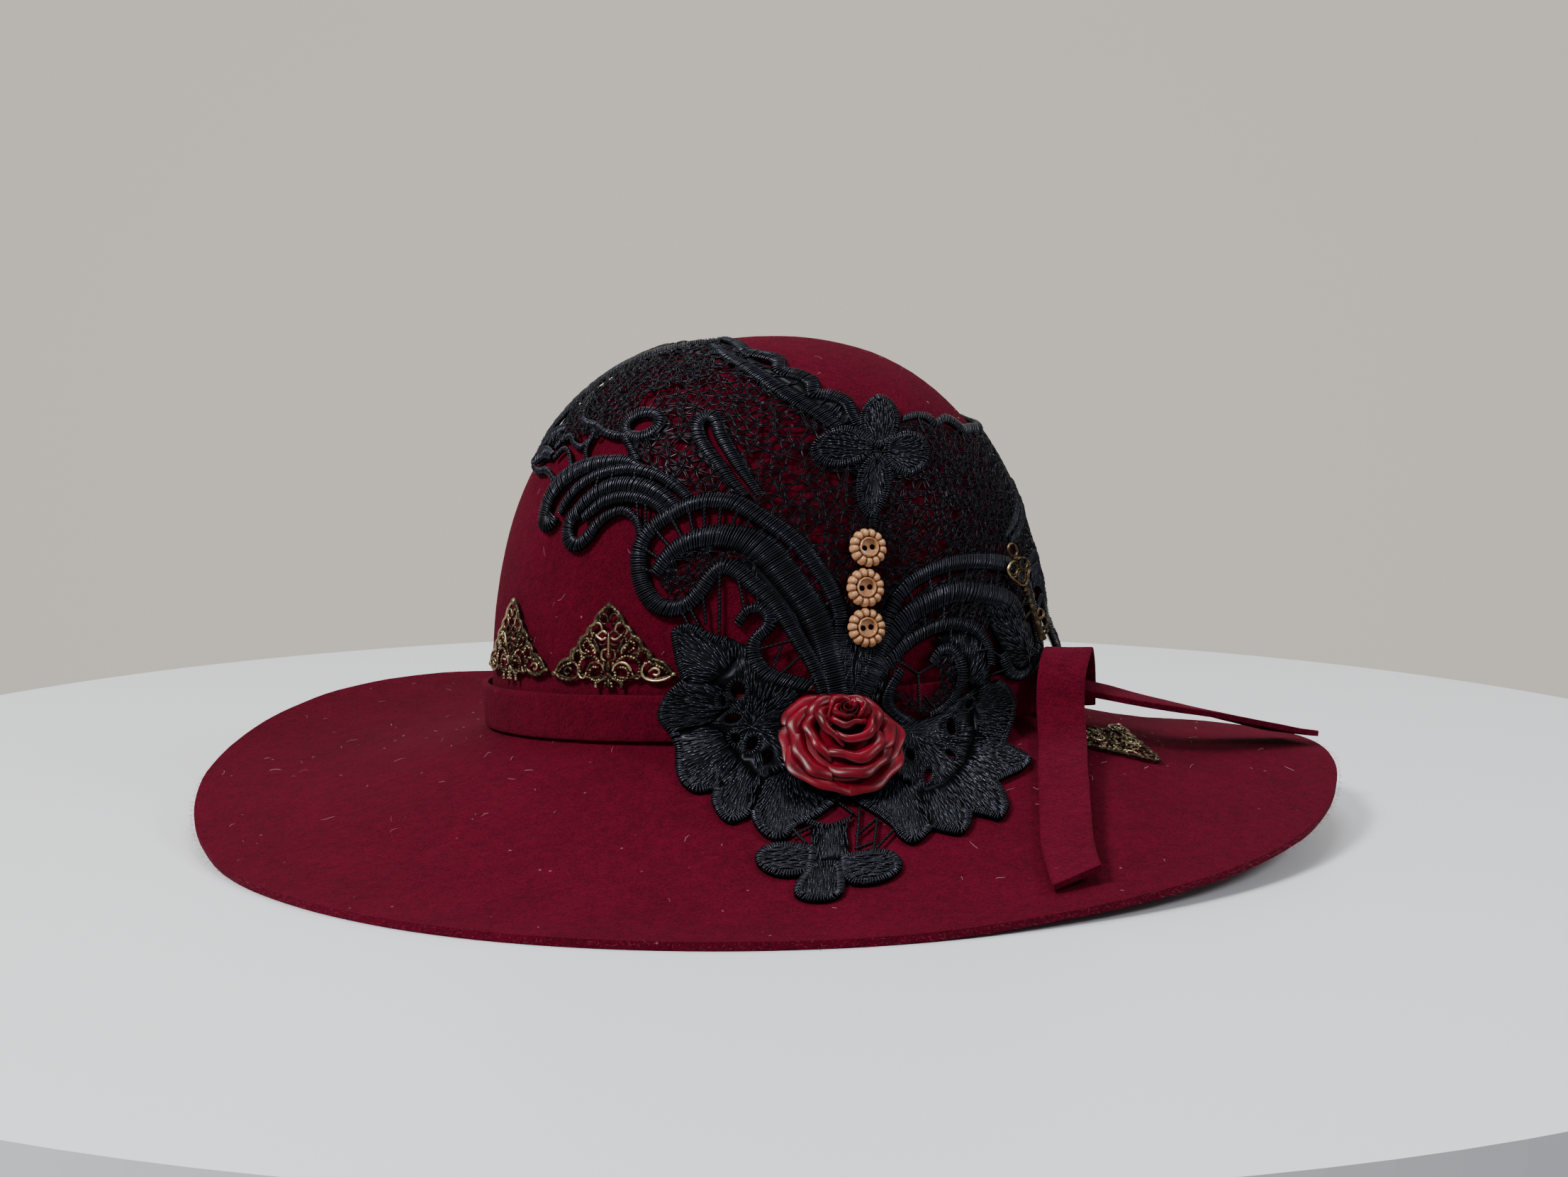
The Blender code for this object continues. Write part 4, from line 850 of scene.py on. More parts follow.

# ---------------------------------------------------------------- lace collar: satin cords
# Every scroll, arch, finger and rim is covered with satin stitches: single rayon threads that
# lie side by side over the padding, a little uneven, and catch the light.
# Some satin threads are painted lighter at random: painted glints in their colour.
PLY = np.array([(math.cos(a), math.sin(a)) for a in (math.pi / 2, math.pi * 7 / 6,
                                                      math.pi * 11 / 6)])
SPREAD = np.array((-1.0, -0.62, 0.0, 0.62, 1.0))


def add_satin(store, run, width, closed=False, pitch=0.80, thick=0.36, base=0.12, slant=0.5,
              rise=None):
    line = smooth_run(run, pitch, closed)
    ahead, across = sideways(line)
    count = len(line)
    wide = width_along(width, count) * (1 + 0.07 * (rng.random(count) - 0.5))
    high = (rise_of(width_along(width, count)) if rise is None else np.full(count, rise))
    high = high * (1 + 0.30 * (rng.random(count) - 0.5))
    shift = (rng.random(count) - 0.5) * 0.34
    plan = (line[:, None] + across[:, None] * (SPREAD[None] * wide[:, None] / 2)[..., None]
            + ahead[:, None] * (SPREAD[None] * slant + shift[:, None])[..., None])
    lift = base + high[:, None] * np.sqrt(1 - 0.97 * SPREAD ** 2)[None]
    add_tubes(store, plan, lift, (PLY * thick)[None, None])


scrolls = new_store()
for width, run, closed in cords:
    add_satin(scrolls, run, width, closed)
lace_scrolls = store_piece("lace_scrolls", scrolls, rayon_thread)

rims = new_store()
for pivot, rim_width, arc, corners in PETALS:
    centre = np.mean(np.array(arc + corners, float), axis=0)
    line = smooth_run(arc, 0.8, not corners)
    across = sideways(line)[1]
    side = np.sign(np.sum(across * (centre - line), axis=1).mean())
    line = line + across * side * rim_width * 0.44
    add_satin(rims, line[:-1] if not corners else line, rim_width, not corners, 0.78, 0.34,
              0.50, 0.0, 0.75)
lace_rims = store_piece("lace_rims", rims, rayon_thread)

# ---------------------------------------------------------------- lace collar: petal stitches
# The petals and fans are filled with short running stitches that fan out from one point.
def add_fill(store, pivot, outline, holes, pitch=0.84, length=4.2, lift=0.62, dome=0.5):
    pivot = np.array(pivot, float)
    spokes = outline - pivot
    reach = np.linalg.norm(spokes, axis=1)
    angle = np.arctan2(spokes[:, 1], spokes[:, 0])
    middle = np.angle(np.mean(np.exp(1j * angle)))
    if inside(pivot[None], outline)[0]:
        low, high, near = -math.pi, math.pi, 0.8
    else:
        off = np.angle(np.exp(1j * (angle - middle)))
        low, high, near = middle + off.min(), middle + off.max(), reach.min() * 0.6
    starts = []
    radius = near
    while radius < reach.max():
        count = max(int(radius * (high - low) / pitch), 3)
        turn = low + (high - low) * (np.arange(count) + rng.random(count) * 0.7) / count
        away = radius + (rng.random(count) - 0.5) * length * 0.9
        starts.append(np.column_stack([turn, away]))
        radius += length * 0.62
    spots = np.vstack(starts)
    half = length * (0.36 + 0.22 * rng.random(len(spots)))
    t = np.array((-1.0, -0.35, 0.35, 1.0))
    bend = (rng.random(len(spots)) - 0.5) * 0.12
    away = spots[:, 1, None] + t[None] * half[:, None]
    turn = spots[:, 0, None] + bend[:, None] * t[None] / np.maximum(
        np.abs(spots[:, 1, None]) / 6, 1)
    plan = pivot + np.stack([np.cos(turn) * away, np.sin(turn) * away], axis=-1)
    keep = inside(plan[:, 0], outline) & inside(plan[:, 3], outline)
    for hole in holes:
        hole = np.mean(hole, axis=0) + (hole - np.mean(hole, axis=0)) * 1.15
        keep &= ~inside(plan[:, 0], hole) & ~inside(plan[:, 3], hole) & ~inside(plan[:, 1], hole)
    plan = plan[keep]
    middle = plan.mean(axis=1)
    edge = np.min(np.linalg.norm(middle[:, None] - outline[None], axis=2), axis=1)
    high = lift + dome * np.clip(edge / 3.0, 0, 1) + 0.25 * (rng.random(len(plan)) - 0.5)
    add_tubes(store, plan, high[:, None] + np.array((-0.28, 0.06, 0.06, -0.28))[None],
              (PLY * 0.31)[None, None])


petals = new_store()
for pivot, rim_width, arc, corners in PETALS:
    add_fill(petals, pivot, edge_of(arc, corners, 1.2), HOLES)
for pivot, outline in GROUNDS:
    add_fill(petals, pivot, ground_edge(outline, 1.2), HOLES, dome=0.25)
for hole in HOLES:
    centre = np.mean(hole, axis=0)
    if not (-25 < centre[0] < 16 and -24 < centre[1] < 19):
        add_satin(petals, centre + (hole - centre) * 1.35, 1.6, True, 0.8, 0.3, 0.5, 0.0, 0.55)
lace_petals = store_piece("lace_petals", petals, rayon_thread)

# ---------------------------------------------------------------- lace collar: net and bars
# Between the motifs the machine works an open net of crossed threads, with the red felt showing
# through, and thin twisted bars across the windows.
def add_net(store, zone, avoid, spacing, thick, doubled, seed):
    dice = np.random.default_rng(seed)
    zone = np.array(zone, float)
    low, high = zone.min(axis=0), zone.max(axis=0)
    spots = []
    row, y = 0, low[1]
    while y < high[1]:
        x = np.arange(low[0] + (row % 2) * spacing / 2, high[0], spacing)
        spots.append(np.column_stack([x, np.full(len(x), y)]))
        y += spacing * 0.87
        row += 1
    spots = np.vstack(spots)
    spots += (dice.random(spots.shape) - 0.5) * spacing * 0.75
    keep = inside(spots, zone)
    for hole in avoid:
        keep &= ~inside(spots, hole)
    spots = spots[keep]
    found = delaunay_2d_cdt([Vector(p) for p in spots], [], [], 0, 0.02)
    places = np.array([tuple(p) for p in found[0]])
    pairs = {tuple(sorted((f[k], f[k - 1]))) for f in found[2] for k in range(len(f))}
    pairs = np.array(sorted(pairs))
    a, b = places[pairs[:, 0]], places[pairs[:, 1]]
    run = np.linalg.norm(a - b, axis=1)
    keep = (run < spacing * 1.75) & (dice.random(len(run)) > 0.13)
    a, b = a[keep], b[keep]
    t = np.array((-0.08, 0.3, 0.7, 1.08))
    for pass_number in range(doubled):
        ahead = (b - a) / np.linalg.norm(b - a, axis=1, keepdims=True)
        across = np.column_stack([-ahead[:, 1], ahead[:, 0]])
        bow = (dice.random(len(a)) - 0.5) * 0.75
        offset = (pass_number - (doubled - 1) / 2) * 0.42
        plan = (a[:, None] + (b - a)[:, None] * t[None, :, None]
                + across[:, None] * (offset + bow[:, None] * np.array((0, 1, 1, 0)))[..., None])
        lift = 0.34 + dice.random(len(a))[:, None] * 0.28 + np.array((0, 0.12, 0.12, 0))[None]
        add_tubes(store, plan, lift, (PLY * thick)[None, None])


def twisted_bar(store, start, end, thick=0.52):
    start, end = np.array(start, float), np.array(end, float)
    length = np.linalg.norm(end - start)
    steps = max(int(length / 0.55), 5)
    t = np.linspace(0, 1, steps)
    ahead = (end - start) / max(length, 1e-6)
    across = np.array((-ahead[1], ahead[0]))
    for phase in (0.0, math.pi):
        turn = t * length * 2.4 + phase
        plan = start + (end - start) * t[:, None] + across * (0.26 * np.cos(turn))[:, None]
        add_tubes(store, plan[None], (0.72 + 0.24 * np.sin(turn))[None], (PLY * thick)[None, None])


def nearest(line, spot):
    return line[np.argmin(np.linalg.norm(line - spot, axis=1))]


LEFT_NET = ((0, 100), (-10, 104), (-18, 108), (-27, 112), (-36, 118), (-46, 130), (-55, 142),
            (-58, 152), (-68, 150), (-82, 144), (-96, 136.6), (-107, 129), (-107, 122),
            (-108, 113), (-106, 109), (-98, 106.4), (-88, 101.8), (-84, 101), (-79, 92),
            (-71, 87), (-60, 79), (-46, 76.6), (-38, 72), (-30.8, 67), (-24, 61),
            (-18, 54), (-13, 47.6), (-9, 40), (-7, 30), (0, 30))
INNER_NET = ((-66, 53), (-64, 58), (-58, 62), (-47, 63), (-38, 60), (-32, 54), (-38, 54),
             (-45, 57), (-49, 53), (-52, 47), (-56, 44), (-62, 44.6))
RIGHT_NET = ((-2, 30), (5.6, 30), (6.6, 40), (12, 47), (19, 51), (27, 53), (45, 52.4), (56, 51),
             (65, 47), (73, 42), (84, 44), (97, 40), (112, 42), (124, 47), (136, 46), (147, 41),
             (146, 52), (143, 62), (138, 75), (132, 87), (123, 99), (113, 110), (105, 117),
             (94, 110.6), (80, 104), (60, 100.4), (36, 99), (20, 102),
             (6, 104), (-2, 104))
ARCH_NET = ((7, 30), (14, 43), (27, 50), (45, 50), (64, 45), (73, 36), (64, 36), (50, 41),
            (34, 43), (20, 40), (10, 33))
CURL_NET = ((6, 22), (14, 35), (27, 42), (45, 41), (56, 38), (46, 30), (42, 28), (36, 32),
            (24, 31), (14, 26), (10, 18), (12, 8), (22, 0), (30, 2), (35, 10), (34, 20),
            (28, 26), (22, 22), (18, 12), (14, 14))
curl_hole = oval(21, 14, 4.6, 6.4, 0, 10)
ring_hole = oval(-78.8, 105.8, 6.2, 4.8, 15, 12)
leaf = ((-60, 105), (-54, 106), (-46, 89), (-40, 79), (-43, 79), (-55, 94))
net = new_store()
# At the upper left the net is worked closer and thicker, so that less red felt shows through:
# painted shade over that patch.
shaded = np.array(((-120, 160), (-120, 100), (-86, 101), (-78, 118), (-62, 124), (-50, 132),
                   (-44, 140), (-58, 156)))
add_net(net, LEFT_NET, (ring_hole, leaf, shaded), 3.3, 0.25, 2, 3)
add_net(net, INNER_NET, (), 2.7, 0.23, 2, 5)
add_net(net, shaded, (ring_hole,), 2.6, 0.26, 2, 7)
right_net = new_store()
add_net(right_net, RIGHT_NET, (), 2.9, 0.25, 2, 9)
add_net(right_net, ARCH_NET, (), 2.7, 0.26, 2, 13)
add_net(right_net, CURL_NET, (curl_hole,), 2.7, 0.26, 2, 15)
lace_net = store_piece("lace_net", net, net_thread)
lace_net_right = store_piece("lace_net_right", right_net, net_thread)

bars = new_store()
outer, inner = smooth_run(WING[0][1][2:15], 1.0), smooth_run(WING[1][1], 1.0)
across_windows = ((-8.4, 36.4), (-11.6, 43.6), (-16.2, 50.4), (-20.6, 56.4), (-25.4, 61.6),
                  (-30, 65.6), (-34.8, 69.2), (-39.8, 72.2), (-44.4, 75), (-49.2, 76.4),
                  (-54.4, 76.2), (-59.4, 75), (-64.2, 72.6), (-68.6, 68.6), (-71.8, 62.8),
                  (-71.4, 56.6))
for spot in across_windows:
    twisted_bar(bars, nearest(outer, spot), nearest(inner, spot))
arches = [smooth_run(CENTRE[k][1], 1.0) for k in (4, 5, 6)]
for upper, lower, first, last, count in ((arches[0], arches[1], 0.04, 0.72, 14),
                                         (arches[1], arches[2], 0.06, 0.78, 9)):
    for share in np.linspace(first, last, count):
        start = upper[int(share * (len(upper) - 1))]
        twisted_bar(bars, start, nearest(lower, start))
STRAIGHT_BARS = (
    ((-91.4, 87.4), (-92.6, 81)), ((-86, 88.4), (-87, 83)), ((-78, 88.8), (-78.4, 83.6)),
    ((-72, 87), (-73, 82)), ((-66.4, 84), (-68, 79)), ((-73, 76.4), (-71.6, 66)),
    ((-69.4, 75.4), (-66.6, 71)), ((-76.4, 78.6), (-74.4, 69.6)),
    ((-51, 48.4), (-48, 37.4)), ((-47, 55), (-43.6, 34.4)), ((-41.6, 53), (-37.2, 41)),
    ((-35.4, 49), (-33.4, 42)), ((-30.4, 44.6), (-30.2, 40)), ((-25.6, 39), (-29.6, 36.4)),
    ((-57, 43), (-53, 37)), ((-54, 43), (-50, 37)), ((-20, 32), (-31, 29)),
    ((-17, 28), (-24.4, 20)), ((-24.6, 30), (-26, 21)), ((-12, 24), (-15, 17.6)),
    ((12, 22.6), (18, 18.6)), ((18, 18.6), (25.2, 22)), ((18, 18.6), (21.6, 2)),
    ((21.6, 10), (25.4, 4)), ((29, 33), (29.6, 25.6)), ((36, 32.4), (33, 22)),
    ((36, 24), (45.4, 24)), ((34.4, 14), (45, 19)), ((45, 24), (52, 20)), ((46, 16), (52, 17)),
    ((-15.6, -40), (-11.6, -47.6)), ((-9.8, -40), (-15.6, -44)), ((-2, -30), (2.6, -36)),
    ((2, -36.6), (-0.6, -40)), ((4.4, -33), (3, -52)), ((3, -46), (9.6, -39)),
    ((9.6, -39), (8, -54)), ((8, -54), (14.6, -45)), ((3, -52), (8, -50)),
    ((-12, 100), (-8, 106)), ((14, 98), (12, 104)), ((-4, 68.6), (-3, 30)),
)
for start, end in STRAIGHT_BARS:
    twisted_bar(bars, start, end, 0.42)
# Chain stitched lines that slant over the right net.
for k in range(9):
    x = 16 + 5.0 * k
    line = smooth_run(((x, 90), (x + 4.6, 78), (x + 9, 68), (x + 15, 56)), 1.5)
    for start, end in zip(line, line[1:]):
        for side in (-0.42, 0.42):
            plan = np.linspace(start, end, 4)
            ahead = (end - start) / np.linalg.norm(end - start)
            plan = plan + np.array((-ahead[1], ahead[0])) * (
                side * np.array((0.2, 1, 1, 0.2)))[:, None]
            add_tube(bars, plan, 0.5, (PLY * 0.2)[None])
lace_bars = store_piece("lace_bars", bars, net_thread)
# The lace's flat area, in square millimetres: its cords, and then its petals and grounds.
worked = sum(np.linalg.norm(np.diff(smooth_run(run, 1.6, closed), axis=0), axis=1).sum()
             * np.mean(width) for width, run, closed in cords)
for outline in ([edge_of(arc, corners, 2.2) for pivot, rim_width, arc, corners in PETALS]
                + [np.array(outline, float) for pivot, outline in GROUNDS]):
    worked += abs(signed_area(outline))
corner = np.vstack([run for width, run, closed in cords]
                   + [np.array(arc, float) for pivot, rim_width, arc, corners in PETALS])
cut = np.ptp(corner, axis=0) / 1000 + 0.004

# ---------------------------------------------------------------- flower buttons
# Three tan plastic sewing buttons shaped as flowers, moulded with thirteen rounded petals, a
# dished middle with a raised rim and two holes side by side, glued down the lace.
def seat_on_lace(azimuth, share, turn, lift, reach):
    """Frame over the lace: x along the girth, y up the crown, z outwards."""
    side = math.degrees(reach / girth(share))
    along = over_band(azimuth + side, share) - over_band(azimuth - side, share)
    up = (over_band(azimuth, share_along(share, -reach))
          - over_band(azimuth, share_along(share, reach)))
    out = along.cross(up).normalized()
    up = (up - out * up.dot(out)).normalized()
    seat = over_band(azimuth, share)
    bulge = 0.0
    for ring in (0.5, 1.0):
        for k in range(12):
            angle = 2 * math.pi * k / 12
            spot = share_along(share, ring * reach * math.sin(angle))
            beside = over_band(azimuth + ring * side * math.cos(angle), spot)
            bulge = max(bulge, (beside - seat).dot(out))
    place = (Matrix((up.cross(out), up, out)).transposed()
             @ Matrix.Rotation(math.radians(turn), 3, "Z")).to_4x4()
    place.translation = seat + out * (lift + bulge)
    return place


def in_frame(place):
    """Lay flat points, in millimetres, in a straight frame instead of on the lace."""
    turn = np.array(place.to_3x3())
    seat = np.array(place.translation)

    def laid(plan, lift):
        local = np.stack([plan[..., 0], plan[..., 1], lift], axis=-1) / 1000
        return local @ turn.T + seat
    return laid


tan, nodes, links, shader = new_material("tan_button_plastic", {
    "Coat Weight": 0.25, "Coat Roughness": 0.12})
where = nodes.new("ShaderNodeTexCoord")
cloud = add_noise(nodes, links, where.outputs["Object"], 700.0, 3.0, 0.6)
# The button colour mixes from dark brown to tan by the tone and a little noise mottle: the dark
# end is painted shade, and the petal tops reaching full tan are a painted highlight.
painted_light_and_mottle = add_math(nodes, links, "ADD", add_tone(nodes),
                add_range(nodes, links, cloud, 0.3, 0.7, -0.10, 0.10))
links.new(add_mix(nodes, links, painted_light_and_mottle, (0.085, 0.030, 0.012, 1.0), (0.46, 0.225, 0.105, 1.0)),
          shader.inputs["Base Color"])
links.new(add_range(nodes, links, cloud, 0.2, 0.8, 0.20, 0.30), shader.inputs["Roughness"])

BUTTON_RADIUS, BUTTON_HEIGHT, BUTTON_PETALS = 6.25, 3.1, 13
BUTTON_SEATS = ((290.6, 0.686, 4), (289.2, 0.752, 4), (288.7, 0.819, 4))
# How far out each ring of the moulded face lies, as a share of the radius.
FACE_RINGS = (0.0, 0.08, 0.16, 0.24, 0.32, 0.38, 0.42, 0.45, 0.48, 0.51, 0.54, 0.58, 0.63, 0.70,
              0.77, 0.84, 0.90, 0.95, 0.98, 1.0, 0.96, 0.5)
HOLE_RADIUS, HOLE_OFFSET = 0.00088, 0.00128
BUTTON_LIFT, ROSE_LIFT, ROSE_REACH = 0.0018, 0.0015, 0.01575  # off the lace, and the rose's reach
for number, (azimuth, share, turn) in enumerate(BUTTON_SEATS, 1):
    around = np.linspace(0, 2 * math.pi, BUTTON_PETALS * 10, endpoint=False)
    beside = np.abs(((around * BUTTON_PETALS / (2 * math.pi) + 0.13 * number) % 1) - 0.5) * 2
    lobe = np.sqrt(np.clip(1 - beside ** 2.6, 0, 1))
    reach = 0.85 + 0.15 * lobe
    rows, tones = [], []
    for out in FACE_RINGS:
        radius = BUTTON_RADIUS * out * (1 if out < 0.5 else 1 + (reach - 1) * (out - 0.5) * 2)
        # Tones: lowest in the gaps between the petals, at their roots and on the button's side,
        # highest on the petal tops and the raised ring, as painted shade and painted highlight.
        if len(rows) >= 20:
            height, tone = np.zeros_like(around), np.full_like(around, 0.2)
        elif out <= 0.40:
            height = np.full_like(around, 0.40 + 0.08 * (out / 0.4) ** 2)
            tone = np.full_like(around, 0.86 - 0.3 * (out > 0.35))
        elif out <= 0.52:
            bump_up = math.sin((out - 0.40) / 0.12 * math.pi) if out < 0.52 else 0
            height = np.full_like(around, 0.60 + 0.34 * bump_up)
            tone = np.full_like(around, 0.55 + 0.5 * bump_up)
        else:
            rise = math.sin(min((out - 0.50) / 0.16, 1) * math.pi / 2)
            fall = 1 - max((out - 0.74) / 0.26, 0) ** 2.2
            height = 0.30 + (0.16 + 0.54 * lobe) * rise * fall
            tone = 0.05 + 1.0 * lobe ** 1.6 * (0.35 + 0.65 * rise)
        rows.append(np.column_stack([radius * np.cos(around) * np.ones_like(around),
                                     radius * np.sin(around) * np.ones_like(around),
                                     height * BUTTON_HEIGHT]))
        tones.append(tone)
    local = np.array(rows)
    steps = len(around)
    faces = [(r * steps + k, (r + 1) * steps + k, (r + 1) * steps + (k + 1) % steps,
              r * steps + (k + 1) % steps) for r in range(1, len(rows) - 1) for k in range(steps)]
    faces.append(tuple(range(steps, 2 * steps)))
    faces.append(tuple(range((len(rows) - 1) * steps, len(rows) * steps))[::-1])
    place = seat_on_lace(azimuth, share, turn, BUTTON_LIFT, BUTTON_RADIUS / 1000)
    button = new_piece(f"flower_button_{number}", local.reshape(-1, 3) / 1000, faces, tan,
                       np.concatenate(tones))
    for side in (-1, 1):
        bpy.ops.mesh.primitive_cylinder_add(vertices=20, radius=HOLE_RADIUS, depth=0.02,
                                            location=(side * HOLE_OFFSET, 0, 0))
        drill = bpy.context.object
        cut = button.modifiers.new("hole", "BOOLEAN")
        cut.operation, cut.object, cut.solver = "DIFFERENCE", drill, "EXACT"
        finish_modifiers(button)
        bpy.data.objects.remove(drill)
    button.data.transform(place)
    shade_by_angle(button, 50)
    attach(button, "root")
    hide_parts(f"button_{number}")

# ---------------------------------------------------------------- ribbon rose
# A rose rolled from red satin ribbon: a tight bud and rings of petals that lap over each other,
# each with its edge rolled back and singed, sewn on a small round foot.
satin, nodes, links, shader = new_material("red_satin_ribbon", {
    "Specular IOR Level": 0.24, "Sheen Weight": 0.02, "Sheen Roughness": 0.3,
    "Sheen Tint": (1.0, 0.25, 0.35, 1)})
tone = add_tone(nodes)
where = nodes.new("ShaderNodeTexCoord")
cloud = add_noise(nodes, links, where.outputs["Object"], 160.0, 3.0, 0.6)
red = add_mix(nodes, links, add_range(nodes, links, cloud, 0.3, 0.7),
              (0.055, 0.0001, 0.0030, 1.0), (0.175, 0.0004, 0.0110, 1.0))
# Where the tone is below zero, towards each petal's foot deep in the rose, the red darkens to
# almost black: painted shade in the crevices.
red = add_mix(nodes, links, add_range(nodes, links, tone, -1.0, 0.0),
              (0.006, 0.0002, 0.0006, 1.0), red)
singed = add_range(nodes, links, tone, 0.55, 0.95)
links.new(add_mix(nodes, links, singed, red, (0.012, 0.0008, 0.0016, 1.0)),
          shader.inputs["Base Color"])
links.new(add_range(nodes, links, singed, 0.0, 1.0, 0.30, 0.50), shader.inputs["Roughness"])
weave = nodes.new("ShaderNodeTexWave")
set_inputs(weave, {"Scale": 900.0, "Distortion": 1.5})
links.new(where.outputs["Object"], weave.inputs["Vector"])
add_bump(nodes, links, weave.outputs["Fac"], shader, 0.10, 0.0002)

ROSE_RINGS = (
    # petals, out, rise, roll, arc, start, offset up
    (5, 14.6, 4.6, 4.0, 96, 20, -0.6),
    (5, 11.8, 7.4, 3.6, 92, 62, 0.6),
    (4, 9.0, 10.0, 3.2, 118, 24, 2.4),
    (3, 6.2, 12.2, 2.4, 150, 70, 4.2),
    (3, 3.9, 13.4, 1.5, 165, 10, 5.6),
    (2, 2.1, 14.2, 0.7, 200, 40, 6.4),
)
# A petal's section, out and up, as shares of its roll and rise.
PETAL_SECTION = ((-0.75, 0.0), (-0.66, 0.26), (-0.52, 0.52), (-0.34, 0.76), (-0.10, 0.93),
                 (0.20, 1.02), (0.50, 1.05), (0.76, 1.02), (0.96, 0.95))
dice = np.random.default_rng(5)
places, faces, tones = [], [], []


def add_strip_faces(base, rows, wide):
    for row in range(rows - 1):
        for k in range(wide - 1):
            first = base + row * wide + k
            faces.append((first, first + 1, first + wide + 1, first + wide))


def add_petal(out, rise, roll, arc, turn, up, lean):
    """One ribbon petal: a cupped strip whose top edge rolls back and down."""
    section, wide = PETAL_SECTION, 22
    folds = (dice.random(3) - 0.5) * 2
    base = len(places)
    s = np.linspace(-1, 1, wide)
    droop = 1 - 0.30 * np.abs(s) ** 2.4 + 0.035 * np.sin(s * 5 + folds[0] * 4)
    ripple = 0.75 * np.sin(s * 4.2 + folds[1] * 5) + 0.42 * np.sin(s * 9.5 + folds[2] * 5)
    tuck = -1.0 * np.abs(s) ** 3 * out * 0.10 + 0.9 * s
    point_out = 0.9 * np.exp(-(s * 2.4 - folds[0] * 0.5) ** 2)
    for k, (a, h) in enumerate(section):
        share = k / (len(section) - 1)
        radius = out + tuck + roll * a + (ripple + point_out) * share ** 1.5 + lean * h
        height = rise * (0.12 + 0.88 * h * droop) - (1.0 - 0.6 * abs(folds[1])) * share ** 4
        angle = math.radians(turn) + np.radians(arc / 2) * s
        for j in range(wide):
            places.append((radius[j] * math.cos(angle[j]) + up * 0.34 * (0.4 + 0.6 * h),
                           radius[j] * math.sin(angle[j]) + up * (0.4 + 0.6 * h),
                           float(height[j])))
            # Tone 1 marks the singed top edge and 0.9 the singed ends; below zero, towards the
            # foot, it paints shade.
            edge = 1.0 if k == len(section) - 1 else min(0.0, 2.2 * h - 2.1)
            if j in (0, wide - 1):
                edge = 0.9
            tones.append(edge)
    add_strip_faces(base, len(section), wide)


for count, out, rise, roll, arc, start, up in ROSE_RINGS:
    for k in range(count):
        add_petal(out + (dice.random() - 0.5) * 1.2, rise + (dice.random() - 0.5) * 1.2,
                  roll * (0.85 + 0.35 * dice.random()), arc * (0.9 + 0.25 * dice.random()),
                  start + 360 * k / count + (dice.random() - 0.5) * 26, up,
                  1.8 * (dice.random() - 0.3))
# The bud: a coil of ribbon in the middle of the rings.
base = len(places)
coil = 46
BUD_HEIGHTS = (4.0, 8.0, 11.8, 13.7, 14.1)
for row, height in enumerate(BUD_HEIGHTS):
    for k in range(coil):
        turn = k / (coil - 1) * math.pi * 4.4
        radius = 0.5 + 0.19 * turn + (0.25 if row == 4 else 0.1 * row)
        places.append((radius * math.cos(turn) + 2.1, radius * math.sin(turn) + 6.4,
                       height - 0.07 * turn))
        tones.append(1.0 if row == 4 else 0.0)
add_strip_faces(base, len(BUD_HEIGHTS), coil)
rose = new_piece("ribbon_rose_petals", np.array(places) / 1000, faces, satin, tones)
ply = rose.modifiers.new("ribbon", "SOLIDIFY")
ply.thickness, ply.offset = 0.00028, 0.0
add_refine(rose, 1)
finish_modifiers(rose)
rose_place = seat_on_lace(281.2, 1.115, 0, ROSE_LIFT, ROSE_REACH)
rose.data.transform(rose_place)
rose.data.shade_smooth()
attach(rose, "root")
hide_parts("ribbon_rose")
bpy.ops.object.select_all(action="DESELECT")
bpy.ops.mesh.primitive_uv_sphere_add(segments=40, ring_count=14, radius=1.0)
foot = bpy.context.object
foot.name = "rose_foot"
foot.scale = (0.0150, 0.0150, 0.0034)
foot.location = (0, 0, 0.0036)
bpy.ops.object.transform_apply(location=True, rotation=False, scale=True)
foot.data.materials.append(satin)
foot.data.attributes.new("tone", "FLOAT", "POINT")
foot.data.transform(rose_place)
foot.data.shade_smooth()
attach(foot, "root")

# ---------------------------------------------------------------- pierced brass triangles
# Three stamped antique brass triangles glued on the felt: two on the crown above the band and
# one on the brim, partly under the felt end. Scrolls and bead rows stand up, the ground is open.
brass_wear, wear_in, wear_out = new_group(
    "antique_brass_wear",
    (("Dark", "NodeSocketColor", (0.05, 0.035, 0.02, 1)),
     ("Bright", "NodeSocketColor", (0.5, 0.38, 0.2, 1)), ("Scale", "NodeSocketFloat", 900.0)),
    (("Color", "NodeSocketColor"), ("Rough", "NodeSocketFloat"), ("Height", "NodeSocketFloat")))
nodes, links = brass_wear.nodes, brass_wear.links
where = nodes.new("ShaderNodeTexCoord")
tarnish = nodes.new("ShaderNodeTexNoise")
tarnish.inputs["Detail"].default_value = 4.0
links.new(where.outputs["Object"], tarnish.inputs["Vector"])
links.new(wear_in.outputs["Scale"], tarnish.inputs["Scale"])
worn = add_math(nodes, links, "ADD", add_tone(nodes),
                add_range(nodes, links, tarnish.outputs["Fac"], 0.32, 0.68, -0.38, 0.28))
links.new(add_mix(nodes, links, worn, wear_in.outputs["Dark"], wear_in.outputs["Bright"]),
          wear_out.inputs["Color"])
links.new(add_range(nodes, links, worn, 0.0, 1.0, 0.55, 0.27), wear_out.inputs["Rough"])
links.new(tarnish.outputs["Fac"], wear_out.inputs["Height"])


